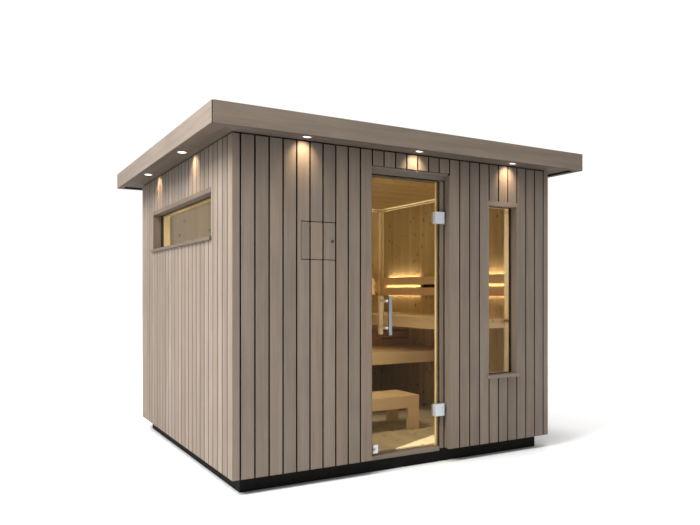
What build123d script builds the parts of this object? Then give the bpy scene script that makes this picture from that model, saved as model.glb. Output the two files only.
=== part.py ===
"""Outdoor sauna cabin: a flat-roofed timber cabin with a glass door, two fixed windows and benches."""

import os

from build123d import *

os.makedirs("parts", exist_ok=True)

# Sizes are in millimetres. The origin is on the ground at the middle of the cabin.
# X runs to the right along the front, Y runs from the front to the rear, Z is up.

# Outside boards: the front is counted in whole boards between two corner strips
front_pitch = 95.0
front_boards = 27
corner_strip = 52.0
side_pitch = 93.0
side_boards = 26
board_gap = 9.0

# Wall layers from the outside in
cladding_t = 20.0
core_t = 110.0
lining_t = 15.0
shadow_gap = 10.0

# Heights
plinth_h = 100.0
plinth_inset = 74.0
floor_t = 25.0
wall_h = 2132.0
ceiling_t = 82.0

# Roof
overhang = 190.0
soffit_t = 18.0
deck_t = 85.0
fascia_t = 25.0
fascia_h = 132.5
fascia_drop = 14.5
fascia_joint = 4.0
backing_t = 22.0
backing_lift = 1.5

# Eave lights
light_r = 34.0
light_rim_h = 3.0
light_body_r = 28.0
light_body_h = 16.0
light_hole_play = 0.5
light_lens_r = 24.0
light_lens_recess = 1.5
light_pitch_front = 872.0
light_pitch_side = 1016.0
light_side_shift = 66.0
light_from_wall = 94.0

# Door opening, in whole front boards
door_first_gap = 10
door_boards = 7
over_door_h = 127.0
frame_setback = 57.0
frame_depth = 33.0
hinge_face = 41.5
latch_face = 27.5
head_face = 29.0
rebate_depth = 15.0
stop_w = 12.0
frame_joint = 0.5

# Door leaf
leaf_side_gap = 6.0
leaf_top_gap = 5.0
leaf_bottom_gap = 10.0
leaf_setback = 59.0
glass_t = 8.0

# Threshold
threshold_rise = 15.0
threshold_setback = 50.0
threshold_drop = 15.0
threshold_play = 1.5

# Door hinges
hinge_h = 86.0
hinge_from_top = 276.0
hinge_from_bottom = 262.0
hinge_clamp_w = 62.0
hinge_corner_r = 8.0
hinge_back_w = 50.0
hinge_back_t = 6.0
knuckle_r = 13.0
knuckle_fixed_h = 44.0
knuckle_play = 0.5
pivot_side = 15.0
pivot_setback = 39.0
pin_r = 4.0
pin_play = 0.06
bracket_t = 3.5
bracket_side_play = 2.0
bracket_reach = 28.0

# Door handle
handle_from_hinge_edge = 473.0
handle_bottom = 827.0
handle_l = 272.0
handle_w = 25.0
handle_t = 20.0
handle_reach = 58.0
post_r = 8.0
post_low = 47.0
post_high = 236.0
bolt_r = 5.0
bolt_play = 0.5
grip_w = 30.0
grip_t = 24.0

# Door catch
catch_w = 38.0
catch_h = 57.0
catch_t = 14.0
catch_side = 2.0
catch_lift = 8.0
catch_hole_r = 9.0
catch_hole_side = 8.0
catch_hole_depth = 9.0

# Windows
front_window_gap = 21
front_window_boards = 3
front_window_bottom = 616.0
front_window_top = 1914.0
left_window_w = 1594.0
left_window_bottom = 1620.0
left_window_top = 1916.0
surround_t = 12.0
header_h = 33.0
sill_h = 24.0
sill_nose = 18.0
sill_ears = 14.0
unit_setback = 66.0
unit_t = 24.0
unit_play = 4.0

# Service hatch
hatch_last_gap = 7
hatch_w = 257.5
hatch_bottom = 1459.0
hatch_top = 1711.0
hatch_back_t = 12.0
hatch_back_inset = 8.0
hatch_pin_r = 2.0
hatch_pin_play = 0.3
hatch_pin_inset = 4.0
hatch_pin_grip = 9.0
hatch_pin_end_play = 1.0
niche_inset = 6.0
niche_depth = 80.0
lock_r = 10.0
lock_t = 4.0
lock_side = 22.0

# Ceiling moulding
cornice_h = 30.0
cornice_d = 22.0
cornice_step = 9.0

# Benches
upper_seat = 912.0
upper_depth = 521.0
upper_side_w = 549.5
lower_seat = 587.0
lower_front = 1208.0
seat_t = 28.0
slat_gap = 9.0
upper_rear_slats = 4
upper_side_slats = 5
lower_slats = 6
bearer_w = 45.0
bearer_h = 45.0
bench_board_h = 100.0
skirt_t = 22.0
skirt_slot = 10.0
skirt_slot_margin = 90.0

# Backrests, measured up from the floor
back_low = 1094.0
back_board_h = 72.0
back_slot = 40.0
back_board_t = 22.0
back_batten_t = 14.0
back_batten_w = 60.0
back_bay = 600.0
back_rear_end = 106.5
back_side_end = 74.0
strip_h = 12.0
strip_t = 8.0

# Footstool
stool_w = 600.0
stool_d = 335.0
stool_h = 280.0
stool_x = 195.0
stool_y = -436.5
stool_apron_h = 100.0
stool_leg_w = 109.0
stool_leg_t = 28.0
stool_top_t = 22.0
stool_slats = 3

# Worked-out places
wall_w = front_boards * front_pitch + 2 * corner_strip
wall_d = side_boards * side_pitch
outer_x = wall_w / 2
outer_y = wall_d / 2
core_x = outer_x - cladding_t
core_y = outer_y - cladding_t
lining_x = core_x - core_t
lining_y = core_y - core_t
room_x = lining_x - lining_t
room_y = lining_y - lining_t
wall_t = cladding_t + core_t + lining_t
floor_z = plinth_h + floor_t
wall_top = plinth_h + wall_h
ceiling_z = wall_top - ceiling_t
roof_x = outer_x + overhang
roof_y = outer_y + overhang
fascia_z = wall_top - fascia_drop

# Wall planes: in each, x runs to the right as seen from outside, y is up and z points out
front_face = Plane(origin=(0, -outer_y, 0), x_dir=(1, 0, 0), z_dir=(0, -1, 0))
rear_face = Plane(origin=(0, outer_y, 0), x_dir=(-1, 0, 0), z_dir=(0, 1, 0))
left_face = Plane(origin=(-outer_x, 0, 0), x_dir=(0, -1, 0), z_dir=(-1, 0, 0))
right_face = Plane(origin=(outer_x, 0, 0), x_dir=(0, 1, 0), z_dir=(1, 0, 0))


def front_gap(index):
    """Place of a gap between two front boards, counted from the left corner strip."""
    return -outer_x + corner_strip + index * front_pitch


def rectangle(low_x, low_y, high_x, high_y, mode=Mode.ADD):
    """Draw a rectangle in the open sketch from its low and high corners."""
    with Locations(((low_x + high_x) / 2, (low_y + high_y) / 2)):
        Rectangle(high_x - low_x, high_y - low_y, mode=mode)


def keep(piece, name):
    """Label a finished piece and write it."""
    piece.part.label = name
    export_step(piece.part, f"parts/{name}.step")


# Door places
lintel_h = wall_top - over_door_h
door_left = front_gap(door_first_gap)
door_right = front_gap(door_first_gap + door_boards)
leaf_left = door_left + latch_face + leaf_side_gap
leaf_right = door_right - hinge_face - leaf_side_gap
leaf_top = lintel_h - head_face - leaf_top_gap
threshold_z = plinth_h + threshold_rise
leaf_bottom = threshold_z + leaf_bottom_gap
leaf_back = leaf_setback + glass_t
stop_left = door_left + latch_face + stop_w
stop_right = door_right - hinge_face - stop_w
stop_setback = frame_setback + rebate_depth
reveal_setback = frame_setback + frame_depth
hinge_levels = (leaf_top - hinge_from_top, leaf_bottom + hinge_from_bottom)
pivot_x = leaf_right + pivot_side
pivot_y = -outer_y + pivot_setback
handle_x = leaf_right - handle_from_hinge_edge
handle_z = leaf_bottom + handle_bottom
post_levels = (handle_z + post_low, handle_z + post_high)

# Window and hatch places
front_window_left = front_gap(front_window_gap)
front_window_right = front_gap(front_window_gap + front_window_boards)
hatch_right = front_gap(hatch_last_gap)
hatch_left = hatch_right - hatch_w
half_gap = board_gap / 2

# Plinth: a black base that stands in from the walls
with BuildPart() as plinth:
    with BuildSketch(Plane.XY):
        Rectangle(wall_w - 2 * plinth_inset, wall_d - 2 * plinth_inset)
    extrude(amount=plinth_h)
keep(plinth, "plinth")

# Floor deck between the walls
with BuildPart() as floor:
    with BuildSketch(Plane.XY.offset(plinth_h)):
        Rectangle(2 * lining_x, 2 * lining_y)
    extrude(amount=floor_t)
keep(floor, "floor")


def cut_window(face, left, right, bottom, top, grow, sill_drop, head_rise, depth):
    """Cut a window hole through the open part, from the given wall plane inwards."""
    with BuildSketch(face) as hole:
        rectangle(left - grow, bottom - sill_drop, right + grow, top + head_rise)
    extrude(hole.sketch, amount=-depth, mode=Mode.SUBTRACT)


# Front wall: panels beside and over the doorway
with BuildPart() as front_wall_left:
    with BuildSketch(front_face.offset(-cladding_t - core_t)):
        rectangle(-core_x, plinth_h, door_left, wall_top)
    extrude(amount=core_t)
    with BuildSketch(front_face.offset(-cladding_t)):
        rectangle(
            hatch_left - half_gap + niche_inset,
            hatch_bottom - half_gap + niche_inset,
            hatch_right + half_gap - niche_inset,
            hatch_top + half_gap - niche_inset,
        )
    extrude(amount=-niche_depth, mode=Mode.SUBTRACT)
keep(front_wall_left, "front_wall_left")

with BuildPart() as front_wall_right:
    with BuildSketch(front_face.offset(-cladding_t - core_t)):
        rectangle(door_right, plinth_h, core_x, wall_top)
    extrude(amount=core_t)
    cut_window(
        front_face, front_window_left, front_window_right, front_window_bottom, front_window_top,
        surround_t, surround_t, surround_t, wall_t,
    )
keep(front_wall_right, "front_wall_right")

with BuildPart() as front_wall_lintel:
    with BuildSketch(front_face.offset(-cladding_t - core_t)):
        rectangle(door_left, lintel_h, door_right, wall_top)
    extrude(amount=core_t)
keep(front_wall_lintel, "front_wall_lintel")

# Rear and side walls
with BuildPart() as rear_wall:
    with BuildSketch(rear_face.offset(-cladding_t - core_t)):
        rectangle(-core_x, plinth_h, core_x, wall_top)
    extrude(amount=core_t)
keep(rear_wall, "rear_wall")

with BuildPart() as right_wall:
    with BuildSketch(right_face.offset(-cladding_t - core_t)):
        rectangle(-lining_y, plinth_h, lining_y, wall_top)
    extrude(amount=core_t)
keep(right_wall, "right_wall")

with BuildPart() as left_wall:
    with BuildSketch(left_face.offset(-cladding_t - core_t)):
        rectangle(-lining_y, plinth_h, lining_y, wall_top)
    extrude(amount=core_t)
    cut_window(
        left_face, -left_window_w / 2, left_window_w / 2, left_window_bottom, left_window_top,
        surround_t, surround_t, surround_t, wall_t,
    )
keep(left_wall, "left_wall")

# Outside cladding: plates with mitred corners
cladding_top = wall_top - shadow_gap


def mitred_plate(face, half_width):
    """Add one wall's cladding, mitred at both ends, to the open part."""
    plan = []
    for x, depth in (
        (-half_width, 0),
        (half_width, 0),
        (half_width - cladding_t, cladding_t),
        (-half_width + cladding_t, cladding_t),
    ):
        point = face.from_local_coords((x, 0, -depth))
        plan.append((point.X, point.Y))
    with BuildSketch(Plane.XY.offset(plinth_h)) as outline:
        Polygon(*plan, align=None)
    extrude(outline.sketch, amount=cladding_top - plinth_h)


with BuildPart() as front_cladding:
    mitred_plate(front_face, outer_x)
    with BuildSketch(front_face):
        rectangle(door_left - half_gap, plinth_h, door_right + half_gap, lintel_h)
        rectangle(door_left - half_gap, lintel_h, door_left + half_gap, cladding_top)
        rectangle(door_right - half_gap, lintel_h, door_right + half_gap, cladding_top)
        rectangle(
            hatch_left - half_gap, hatch_bottom - half_gap, hatch_right + half_gap, hatch_top + half_gap
        )
    extrude(amount=-cladding_t, mode=Mode.SUBTRACT)
    cut_window(
        front_face, front_window_left, front_window_right, front_window_bottom, front_window_top,
        half_gap, sill_h, header_h, cladding_t,
    )
    with BuildSketch(Plane.XY.offset(hatch_bottom - half_gap - hatch_pin_grip)):
        with Locations((hatch_left + half_gap + hatch_pin_inset, -outer_y + hatch_pin_inset)):
            Circle(hatch_pin_r + hatch_pin_play)
    extrude(amount=hatch_top - hatch_bottom + board_gap + 2 * hatch_pin_grip, mode=Mode.SUBTRACT)
keep(front_cladding, "front_cladding")

with BuildPart() as rear_cladding:
    mitred_plate(rear_face, outer_x)
keep(rear_cladding, "rear_cladding")

with BuildPart() as right_cladding:
    mitred_plate(right_face, outer_y)
keep(right_cladding, "right_cladding")

with BuildPart() as left_cladding:
    mitred_plate(left_face, outer_y)
    cut_window(
        left_face, -left_window_w / 2, left_window_w / 2, left_window_bottom, left_window_top,
        0, sill_h, header_h, cladding_t,
    )
keep(left_cladding, "left_cladding")

# Inside lining on the four walls
with BuildPart() as front_lining:
    with BuildSketch(front_face.offset(-wall_t)):
        rectangle(-lining_x, floor_z, door_left, wall_top)
        rectangle(door_right, floor_z, lining_x, wall_top)
        rectangle(door_left + frame_joint, lintel_h, door_right - frame_joint, wall_top)
    extrude(amount=lining_t)
    cut_window(
        front_face, front_window_left, front_window_right, front_window_bottom, front_window_top,
        surround_t, surround_t, surround_t, wall_t,
    )
keep(front_lining, "front_lining")

with BuildPart() as rear_lining:
    with BuildSketch(rear_face.offset(-wall_t)):
        rectangle(-lining_x, floor_z, lining_x, wall_top)
    extrude(amount=lining_t)
keep(rear_lining, "rear_lining")

with BuildPart() as right_lining:
    with BuildSketch(right_face.offset(-wall_t)):
        rectangle(-room_y, floor_z, room_y, wall_top)
    extrude(amount=lining_t)
keep(right_lining, "right_lining")

with BuildPart() as left_lining:
    with BuildSketch(left_face.offset(-wall_t)):
        rectangle(-room_y, floor_z, room_y, wall_top)
    extrude(amount=lining_t)
    cut_window(
        left_face, -left_window_w / 2, left_window_w / 2, left_window_bottom, left_window_top,
        surround_t, surround_t, surround_t, wall_t,
    )
keep(left_lining, "left_lining")

# Ceiling panel between the linings, up to the roof
with BuildPart() as ceiling:
    with BuildSketch(Plane.XY.offset(ceiling_z)):
        Rectangle(2 * room_x, 2 * room_y)
    extrude(amount=ceiling_t)
keep(ceiling, "ceiling")

# Ceiling moulding: a stepped strip on each wall, butted at the corners
with BuildPart() as cornice:
    for side in (-1, 1):
        with BuildSketch(Plane.YZ.offset(-room_x)):
            with BuildLine():
                Polyline(
                    (side * room_y, ceiling_z),
                    (side * (room_y - cornice_d), ceiling_z),
                    (side * (room_y - cornice_d), ceiling_z - cornice_step),
                    (side * (room_y - cornice_step), ceiling_z - cornice_d),
                    (side * (room_y - cornice_step), ceiling_z - cornice_h),
                    (side * room_y, ceiling_z - cornice_h),
                    close=True,
                )
            make_face()
        extrude(amount=2 * room_x)
        run = 2 * (room_y - cornice_d - frame_joint)
        with BuildSketch(Plane.XZ.offset(-run / 2)):
            with BuildLine():
                Polyline(
                    (side * room_x, ceiling_z),
                    (side * (room_x - cornice_d), ceiling_z),
                    (side * (room_x - cornice_d), ceiling_z - cornice_step),
                    (side * (room_x - cornice_step), ceiling_z - cornice_d),
                    (side * (room_x - cornice_step), ceiling_z - cornice_h),
                    (side * room_x, ceiling_z - cornice_h),
                    close=True,
                )
            make_face()
        extrude(amount=run)
keep(cornice, "cornice")

# Roof: soffit plate, deck, black backing boards and mitred fascia boards
inner_roof_x = roof_x - fascia_t - backing_t
inner_roof_y = roof_y - fascia_t - backing_t
light_row_x = outer_x + light_from_wall
light_row_y = outer_y + light_from_wall
light_places = (
    (-light_pitch_front, -light_row_y),
    (0, -light_row_y),
    (light_pitch_front, -light_row_y),
    (-light_row_x, light_side_shift - light_pitch_side / 2),
    (-light_row_x, light_side_shift + light_pitch_side / 2),
)

with BuildPart() as soffit:
    with BuildSketch(Plane.XY.offset(wall_top)):
        Rectangle(2 * inner_roof_x, 2 * inner_roof_y)
        with Locations(*light_places):
            Circle(light_body_r + light_hole_play, mode=Mode.SUBTRACT)
    extrude(amount=soffit_t)
keep(soffit, "soffit")

with BuildPart() as roof_deck:
    with BuildSketch(Plane.XY.offset(wall_top + soffit_t)):
        Rectangle(2 * inner_roof_x, 2 * inner_roof_y)
    extrude(amount=deck_t)
keep(roof_deck, "roof_deck")


def mitred_frame(half_x, half_y, thickness, joint, low, height):
    """Add four boards that form a frame with mitred corners, open by the joint, to the open part."""
    slack = joint / 2
    with BuildSketch(Plane.XY.offset(low)) as boards:
        for side in (-1, 1):
            Polygon(
                (-half_x + slack, side * half_y),
                (half_x - slack, side * half_y),
                (half_x - thickness - slack, side * (half_y - thickness)),
                (-half_x + thickness + slack, side * (half_y - thickness)),
                align=None,
            )
            Polygon(
                (side * half_x, -half_y + slack),
                (side * half_x, half_y - slack),
                (side * (half_x - thickness), half_y - thickness - slack),
                (side * (half_x - thickness), -half_y + thickness + slack),
                align=None,
            )
    extrude(boards.sketch, amount=height)


with BuildPart() as eaves_frame:
    mitred_frame(
        roof_x - fascia_t, roof_y - fascia_t, backing_t, fascia_joint,
        fascia_z + backing_lift, wall_top + soffit_t + deck_t - fascia_z - backing_lift,
    )
keep(eaves_frame, "eaves_frame")

with BuildPart() as fascia:
    mitred_frame(roof_x, roof_y, fascia_t, fascia_joint, fascia_z, fascia_h)
keep(fascia, "fascia")

# Eave lights: turned rims under the soffit with the body in its hole
with BuildPart() as eave_lights:
    with BuildSketch(Plane.XY.offset(wall_top)):
        with Locations(*light_places):
            Circle(light_body_r)
    extrude(amount=light_body_h)
    with BuildSketch(Plane.XY.offset(wall_top)):
        with Locations(*light_places):
            Circle(light_r)
    extrude(amount=-light_rim_h)
    with BuildSketch(Plane.XY.offset(wall_top - light_rim_h)):
        with Locations(*light_places):
            Circle(light_lens_r)
    extrude(amount=light_lens_recess, mode=Mode.SUBTRACT)
keep(eave_lights, "eave_lights")

# Door frame: two jambs and a head with a rebate for the leaf
with BuildPart() as door_frame:
    with BuildSketch(Plane.XY.offset(plinth_h)):
        for edge, inner, stop in (
            (door_left, door_left + latch_face, stop_left),
            (door_right, door_right - hinge_face, stop_right),
        ):
            rectangle(
                min(edge, inner), -outer_y + frame_setback, max(edge, inner), -outer_y + stop_setback
            )
            rectangle(
                min(edge, stop), -outer_y + stop_setback, max(edge, stop), -outer_y + reveal_setback
            )
    extrude(amount=lintel_h - head_face - stop_w - frame_joint - plinth_h)
    with BuildSketch(Plane.YZ.offset(door_left)):
        rectangle(
            -outer_y + frame_setback, lintel_h - head_face, -outer_y + stop_setback, lintel_h
        )
        rectangle(
            -outer_y + stop_setback, lintel_h - head_face - stop_w, -outer_y + reveal_setback, lintel_h
        )
    extrude(amount=door_right - door_left)
keep(door_frame, "door_frame")

# Light inner casing behind the door frame
with BuildPart() as door_reveal:
    with BuildSketch(Plane.XY.offset(plinth_h)):
        rectangle(door_left, -outer_y + reveal_setback, stop_left, -outer_y + wall_t)
        rectangle(stop_right, -outer_y + reveal_setback, door_right, -outer_y + wall_t)
    extrude(amount=lintel_h - head_face - stop_w - frame_joint - plinth_h)
    with BuildSketch(Plane.XY.offset(lintel_h - head_face - stop_w)):
        rectangle(door_left, -outer_y + reveal_setback, door_right, -outer_y + wall_t)
    extrude(amount=head_face + stop_w)
    with BuildSketch(Plane.XY.offset(plinth_h)):
        rectangle(door_left, -lining_y, door_right, -room_y)
    extrude(amount=floor_t, mode=Mode.SUBTRACT)
keep(door_reveal, "door_reveal")

# Threshold: a board over the plinth with a nosing that hangs in front of it
with BuildPart() as door_threshold:
    with BuildSketch(Plane.YZ.offset(stop_left + threshold_play)):
        rectangle(-outer_y + threshold_setback, plinth_h, -lining_y, threshold_z)
        rectangle(
            -outer_y + threshold_setback, plinth_h - threshold_drop, -outer_y + plinth_inset, plinth_h
        )
    extrude(amount=stop_right - stop_left - 2 * threshold_play)
keep(door_threshold, "door_threshold")

# Door leaf: one sheet of toughened glass, drilled for the bolts of the handle
with BuildPart() as door_glass:
    with BuildSketch(front_face.offset(-leaf_back)):
        rectangle(leaf_left, leaf_bottom, leaf_right, leaf_top)
        with Locations(*[(handle_x, level) for level in post_levels]):
            Circle(bolt_r + bolt_play, mode=Mode.SUBTRACT)
    extrude(amount=glass_t)
keep(door_glass, "door_glass")

# Moving half of each hinge: a clamp on the glass with two outer knuckles
with BuildPart() as door_hinge_leaves:
    knuckle_front = -outer_y + pivot_setback - knuckle_r
    for level in hinge_levels:
        with BuildSketch(front_face.offset(-leaf_setback)):
            rectangle(leaf_right - hinge_clamp_w, level - hinge_h / 2, leaf_right, level + hinge_h / 2)
        clamp = extrude(amount=leaf_setback - pivot_setback + knuckle_r)
        outer_edges = clamp.edges().filter_by(Axis.Y).group_by(Axis.X)[0]
        fillet(outer_edges, hinge_corner_r)
        with BuildSketch(front_face.offset(-leaf_back)):
            rectangle(
                leaf_right - hinge_clamp_w, level - hinge_h / 2,
                leaf_right - hinge_clamp_w + hinge_back_w, level + hinge_h / 2,
            )
        extrude(amount=-hinge_back_t)
        moving_h = (hinge_h - knuckle_fixed_h) / 2 - knuckle_play
        for low in (level - hinge_h / 2, level + hinge_h / 2 - moving_h):
            with BuildSketch(Plane.XY.offset(low)):
                rectangle(leaf_right - knuckle_r, knuckle_front, pivot_x, knuckle_front + 2 * knuckle_r)
                with Locations((pivot_x, pivot_y)):
                    Circle(knuckle_r)
                    Circle(pin_r + pin_play, mode=Mode.SUBTRACT)
            extrude(amount=moving_h)
keep(door_hinge_leaves, "door_hinge_leaves")

# Fixed half of each hinge: a plate on the jamb with the middle knuckle and the pin
with BuildPart() as door_hinge_brackets:
    plate_front = -outer_y + frame_setback - bracket_t
    for level in hinge_levels:
        with BuildSketch(Plane.XY.offset(level - hinge_h / 2)):
            rectangle(
                door_right - hinge_face + bracket_side_play, plate_front,
                pivot_x + bracket_reach, plate_front + bracket_t,
            )
            with Locations((pivot_x, pivot_y)):
                Circle(pin_r)
        extrude(amount=hinge_h)
        with BuildSketch(Plane.XY.offset(level - knuckle_fixed_h / 2)):
            with Locations((pivot_x, pivot_y)):
                Circle(knuckle_r)
            rectangle(pivot_x, pivot_y, pivot_x + knuckle_r, plate_front)
        extrude(amount=knuckle_fixed_h)
keep(door_hinge_brackets, "door_hinge_brackets")

# Outer door handle: a flat steel bar on two posts, bolted through the glass to the posts of the inner grip
with BuildPart() as door_handle:
    with BuildSketch(Plane.XY.offset(handle_z)):
        with Locations((handle_x, -outer_y + leaf_setback - handle_reach)):
            RectangleRounded(handle_w, handle_t, handle_t / 4)
    extrude(amount=handle_l)
    with BuildSketch(front_face.offset(-leaf_setback)):
        with Locations(*[(handle_x, level) for level in post_levels]):
            Circle(post_r)
    extrude(amount=handle_reach)
    with BuildSketch(front_face.offset(-leaf_back)):
        with Locations(*[(handle_x, level) for level in post_levels]):
            Circle(post_r)
    extrude(amount=-(handle_reach - grip_t / 2))
    with BuildSketch(front_face.offset(-leaf_back)):
        with Locations(*[(handle_x, level) for level in post_levels]):
            Circle(bolt_r)
    extrude(amount=glass_t)
keep(door_handle, "door_handle")

# Inner grip: a wooden bar on the posts behind the glass
with BuildPart() as door_grip:
    with BuildSketch(Plane.XY.offset(handle_z)):
        with Locations((handle_x, -outer_y + leaf_back + handle_reach)):
            RectangleRounded(grip_w, grip_t, grip_t / 4)
    extrude(amount=handle_l)
keep(door_grip, "door_grip")

# Catch at the free lower corner of the glass, with a round notch at its outer edge
with BuildPart() as door_catch:
    catch_x = leaf_left + catch_side
    catch_z = leaf_bottom + catch_lift
    with BuildSketch(front_face.offset(-leaf_setback)):
        rectangle(catch_x, catch_z, catch_x + catch_w, catch_z + catch_h)
    extrude(amount=catch_t)
    with BuildSketch(front_face.offset(-leaf_setback + catch_t)):
        with Locations((catch_x + catch_hole_side, catch_z + catch_h / 2)):
            Circle(catch_hole_r)
    extrude(amount=-catch_hole_depth, mode=Mode.SUBTRACT)
keep(door_catch, "door_catch")


def window_surround(face, left, right, bottom, top, edge_play):
    """Add the outside boards of a window to the open part: two sides, a head and a sill."""
    with BuildSketch(face.offset(-unit_setback)) as ring:
        rectangle(left - surround_t, bottom + frame_joint, left, top - frame_joint)
        rectangle(right, bottom + frame_joint, right + surround_t, top - frame_joint)
        rectangle(left - surround_t, top, right + surround_t, top + surround_t)
        rectangle(left - surround_t, bottom - surround_t, right + surround_t, bottom)
    extrude(ring.sketch, amount=unit_setback - cladding_t)
    with BuildSketch(face.offset(-cladding_t)) as face_boards:
        rectangle(left - edge_play, top, right + edge_play, top + header_h)
        rectangle(left - edge_play, bottom - sill_h, right + edge_play, bottom)
    extrude(face_boards.sketch, amount=cladding_t)
    with BuildSketch(face) as nose:
        rectangle(left - sill_ears, bottom - sill_h, right + sill_ears, bottom)
    extrude(nose.sketch, amount=sill_nose)


def window_unit(face, left, right, bottom, top):
    """Add the sealed glass of a window to the open part."""
    grow = surround_t - unit_play
    with BuildSketch(face.offset(-unit_setback - unit_t)) as sheet:
        rectangle(left - grow, bottom - grow, right + grow, top + grow)
    extrude(sheet.sketch, amount=unit_t)


def window_casing(face, left, right, bottom, top):
    """Add the light inside casing of a window to the open part, as four boards."""
    with BuildSketch(face.offset(-wall_t)) as ring:
        rectangle(left - surround_t, bottom + frame_joint, left, top - frame_joint)
        rectangle(right, bottom + frame_joint, right + surround_t, top - frame_joint)
        rectangle(left - surround_t, top, right + surround_t, top + surround_t)
        rectangle(left - surround_t, bottom - surround_t, right + surround_t, bottom)
    extrude(ring.sketch, amount=wall_t - unit_setback - unit_t)


# Narrow window beside the door
front_window = (front_window_left, front_window_right, front_window_bottom, front_window_top)
with BuildPart() as front_window_surround:
    window_surround(front_face, *front_window, half_gap)
keep(front_window_surround, "front_window_surround")

with BuildPart() as front_window_glass:
    window_unit(front_face, *front_window)
keep(front_window_glass, "front_window_glass")

with BuildPart() as front_window_casing:
    window_casing(front_face, *front_window)
keep(front_window_casing, "front_window_casing")

# Wide window high in the left wall
left_window = (-left_window_w / 2, left_window_w / 2, left_window_bottom, left_window_top)
with BuildPart() as left_window_surround:
    window_surround(left_face, *left_window, 0)
keep(left_window_surround, "left_window_surround")

with BuildPart() as left_window_glass:
    window_unit(left_face, *left_window)
keep(left_window_glass, "left_window_glass")

with BuildPart() as left_window_casing:
    window_casing(left_face, *left_window)
keep(left_window_casing, "left_window_casing")

# Service hatch: a piece of the cladding on a back plate, hung on two pins
with BuildPart() as hatch_door:
    low_x = hatch_left + half_gap
    high_x = hatch_right - half_gap
    low_z = hatch_bottom + half_gap
    high_z = hatch_top - half_gap
    with BuildSketch(front_face.offset(-cladding_t)):
        rectangle(low_x, low_z, high_x, high_z)
    extrude(amount=cladding_t)
    with BuildSketch(front_face.offset(-cladding_t)):
        rectangle(
            low_x + hatch_back_inset, low_z + hatch_back_inset,
            high_x - hatch_back_inset, high_z - hatch_back_inset,
        )
    extrude(amount=-hatch_back_t)
    pin_reach = board_gap + hatch_pin_grip - hatch_pin_end_play
    with BuildSketch(Plane.XY.offset(low_z - pin_reach)):
        with Locations((low_x + hatch_pin_inset, -outer_y + hatch_pin_inset)):
            Circle(hatch_pin_r)
    extrude(amount=high_z - low_z + 2 * pin_reach)
keep(hatch_door, "hatch_door")

with BuildPart() as hatch_lock:
    with BuildSketch(front_face):
        with Locations((high_x - lock_side, (low_z + high_z) / 2)):
            Circle(lock_r)
    extrude(amount=lock_t)
keep(hatch_lock, "hatch_lock")


def slat_edges(low, high, count):
    """Return both edges of each slat between two places, with a gap before each slat."""
    step = (high - low) / count
    return [(low + index * step + slat_gap, low + (index + 1) * step) for index in range(count)]


def bearer_edges(low, high, count):
    """Return both edges of each bearer of an even row that fills the run between two places."""
    step = (high - low - bearer_w) / (count - 1)
    return [(low + index * step, low + index * step + bearer_w) for index in range(count)]


# Upper bench: slats on bearers behind a front board, along the rear wall and along the right wall
upper_z = floor_z + upper_seat
upper_front_y = room_y - upper_depth
upper_side_x = room_x - upper_side_w
with BuildPart() as upper_bench:
    with BuildSketch(Plane.XY.offset(upper_z - bench_board_h)):
        rectangle(-room_x, upper_front_y, room_x, upper_front_y + seat_t)
        rectangle(upper_side_x, -room_y, upper_side_x + seat_t, upper_front_y)
    extrude(amount=bench_board_h)
    with BuildSketch(Plane.XY.offset(upper_z - seat_t - bearer_h)):
        for low, high in bearer_edges(-room_x, room_x, 4):
            rectangle(low, upper_front_y + seat_t, high, room_y)
        for low, high in bearer_edges(-room_y, upper_front_y, 3):
            rectangle(upper_side_x + seat_t, low, room_x, high)
    extrude(amount=bearer_h)
    with BuildSketch(Plane.XY.offset(upper_z - seat_t)):
        for low, high in slat_edges(upper_front_y + seat_t, room_y, upper_rear_slats):
            rectangle(-room_x, low, room_x, high)
        for low, high in slat_edges(upper_side_x + seat_t, room_x, upper_side_slats):
            rectangle(low, -room_y, high, upper_front_y)
    extrude(amount=seat_t)
keep(upper_bench, "upper_bench")

# Lower bench across the rear of the room, made the same way
lower_z = floor_z + lower_seat
lower_front_y = room_y - lower_front
lower_back_y = upper_front_y + skirt_t
with BuildPart() as lower_bench:
    with BuildSketch(Plane.XY.offset(lower_z - bench_board_h)):
        rectangle(-room_x, lower_front_y, room_x, lower_front_y + seat_t)
    extrude(amount=bench_board_h)
    with BuildSketch(Plane.XY.offset(lower_z - seat_t - bearer_h)):
        for low, high in bearer_edges(-room_x, room_x, 4):
            rectangle(low, lower_front_y + seat_t, high, lower_back_y)
    extrude(amount=bearer_h)
    with BuildSketch(Plane.XY.offset(lower_z - seat_t)):
        for low, high in slat_edges(lower_front_y + seat_t, lower_back_y, lower_slats):
            rectangle(-room_x, low, room_x, high)
    extrude(amount=seat_t)
keep(lower_bench, "lower_bench")

# Skirt between the two benches: horizontal boards with open joints
skirt_top = upper_z - bench_board_h
with BuildPart() as bench_skirt:
    with BuildSketch(Plane.XZ.offset(-upper_front_y)):
        rectangle(-room_x, lower_z, room_x, skirt_top)
        for share in (1 / 3, 2 / 3):
            slot_z = lower_z + share * (skirt_top - lower_z)
            rectangle(
                -room_x + skirt_slot_margin, slot_z - skirt_slot / 2,
                room_x - skirt_slot_margin, slot_z + skirt_slot / 2,
                mode=Mode.SUBTRACT,
            )
    extrude(amount=-skirt_t)
keep(bench_skirt, "bench_skirt")

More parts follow.
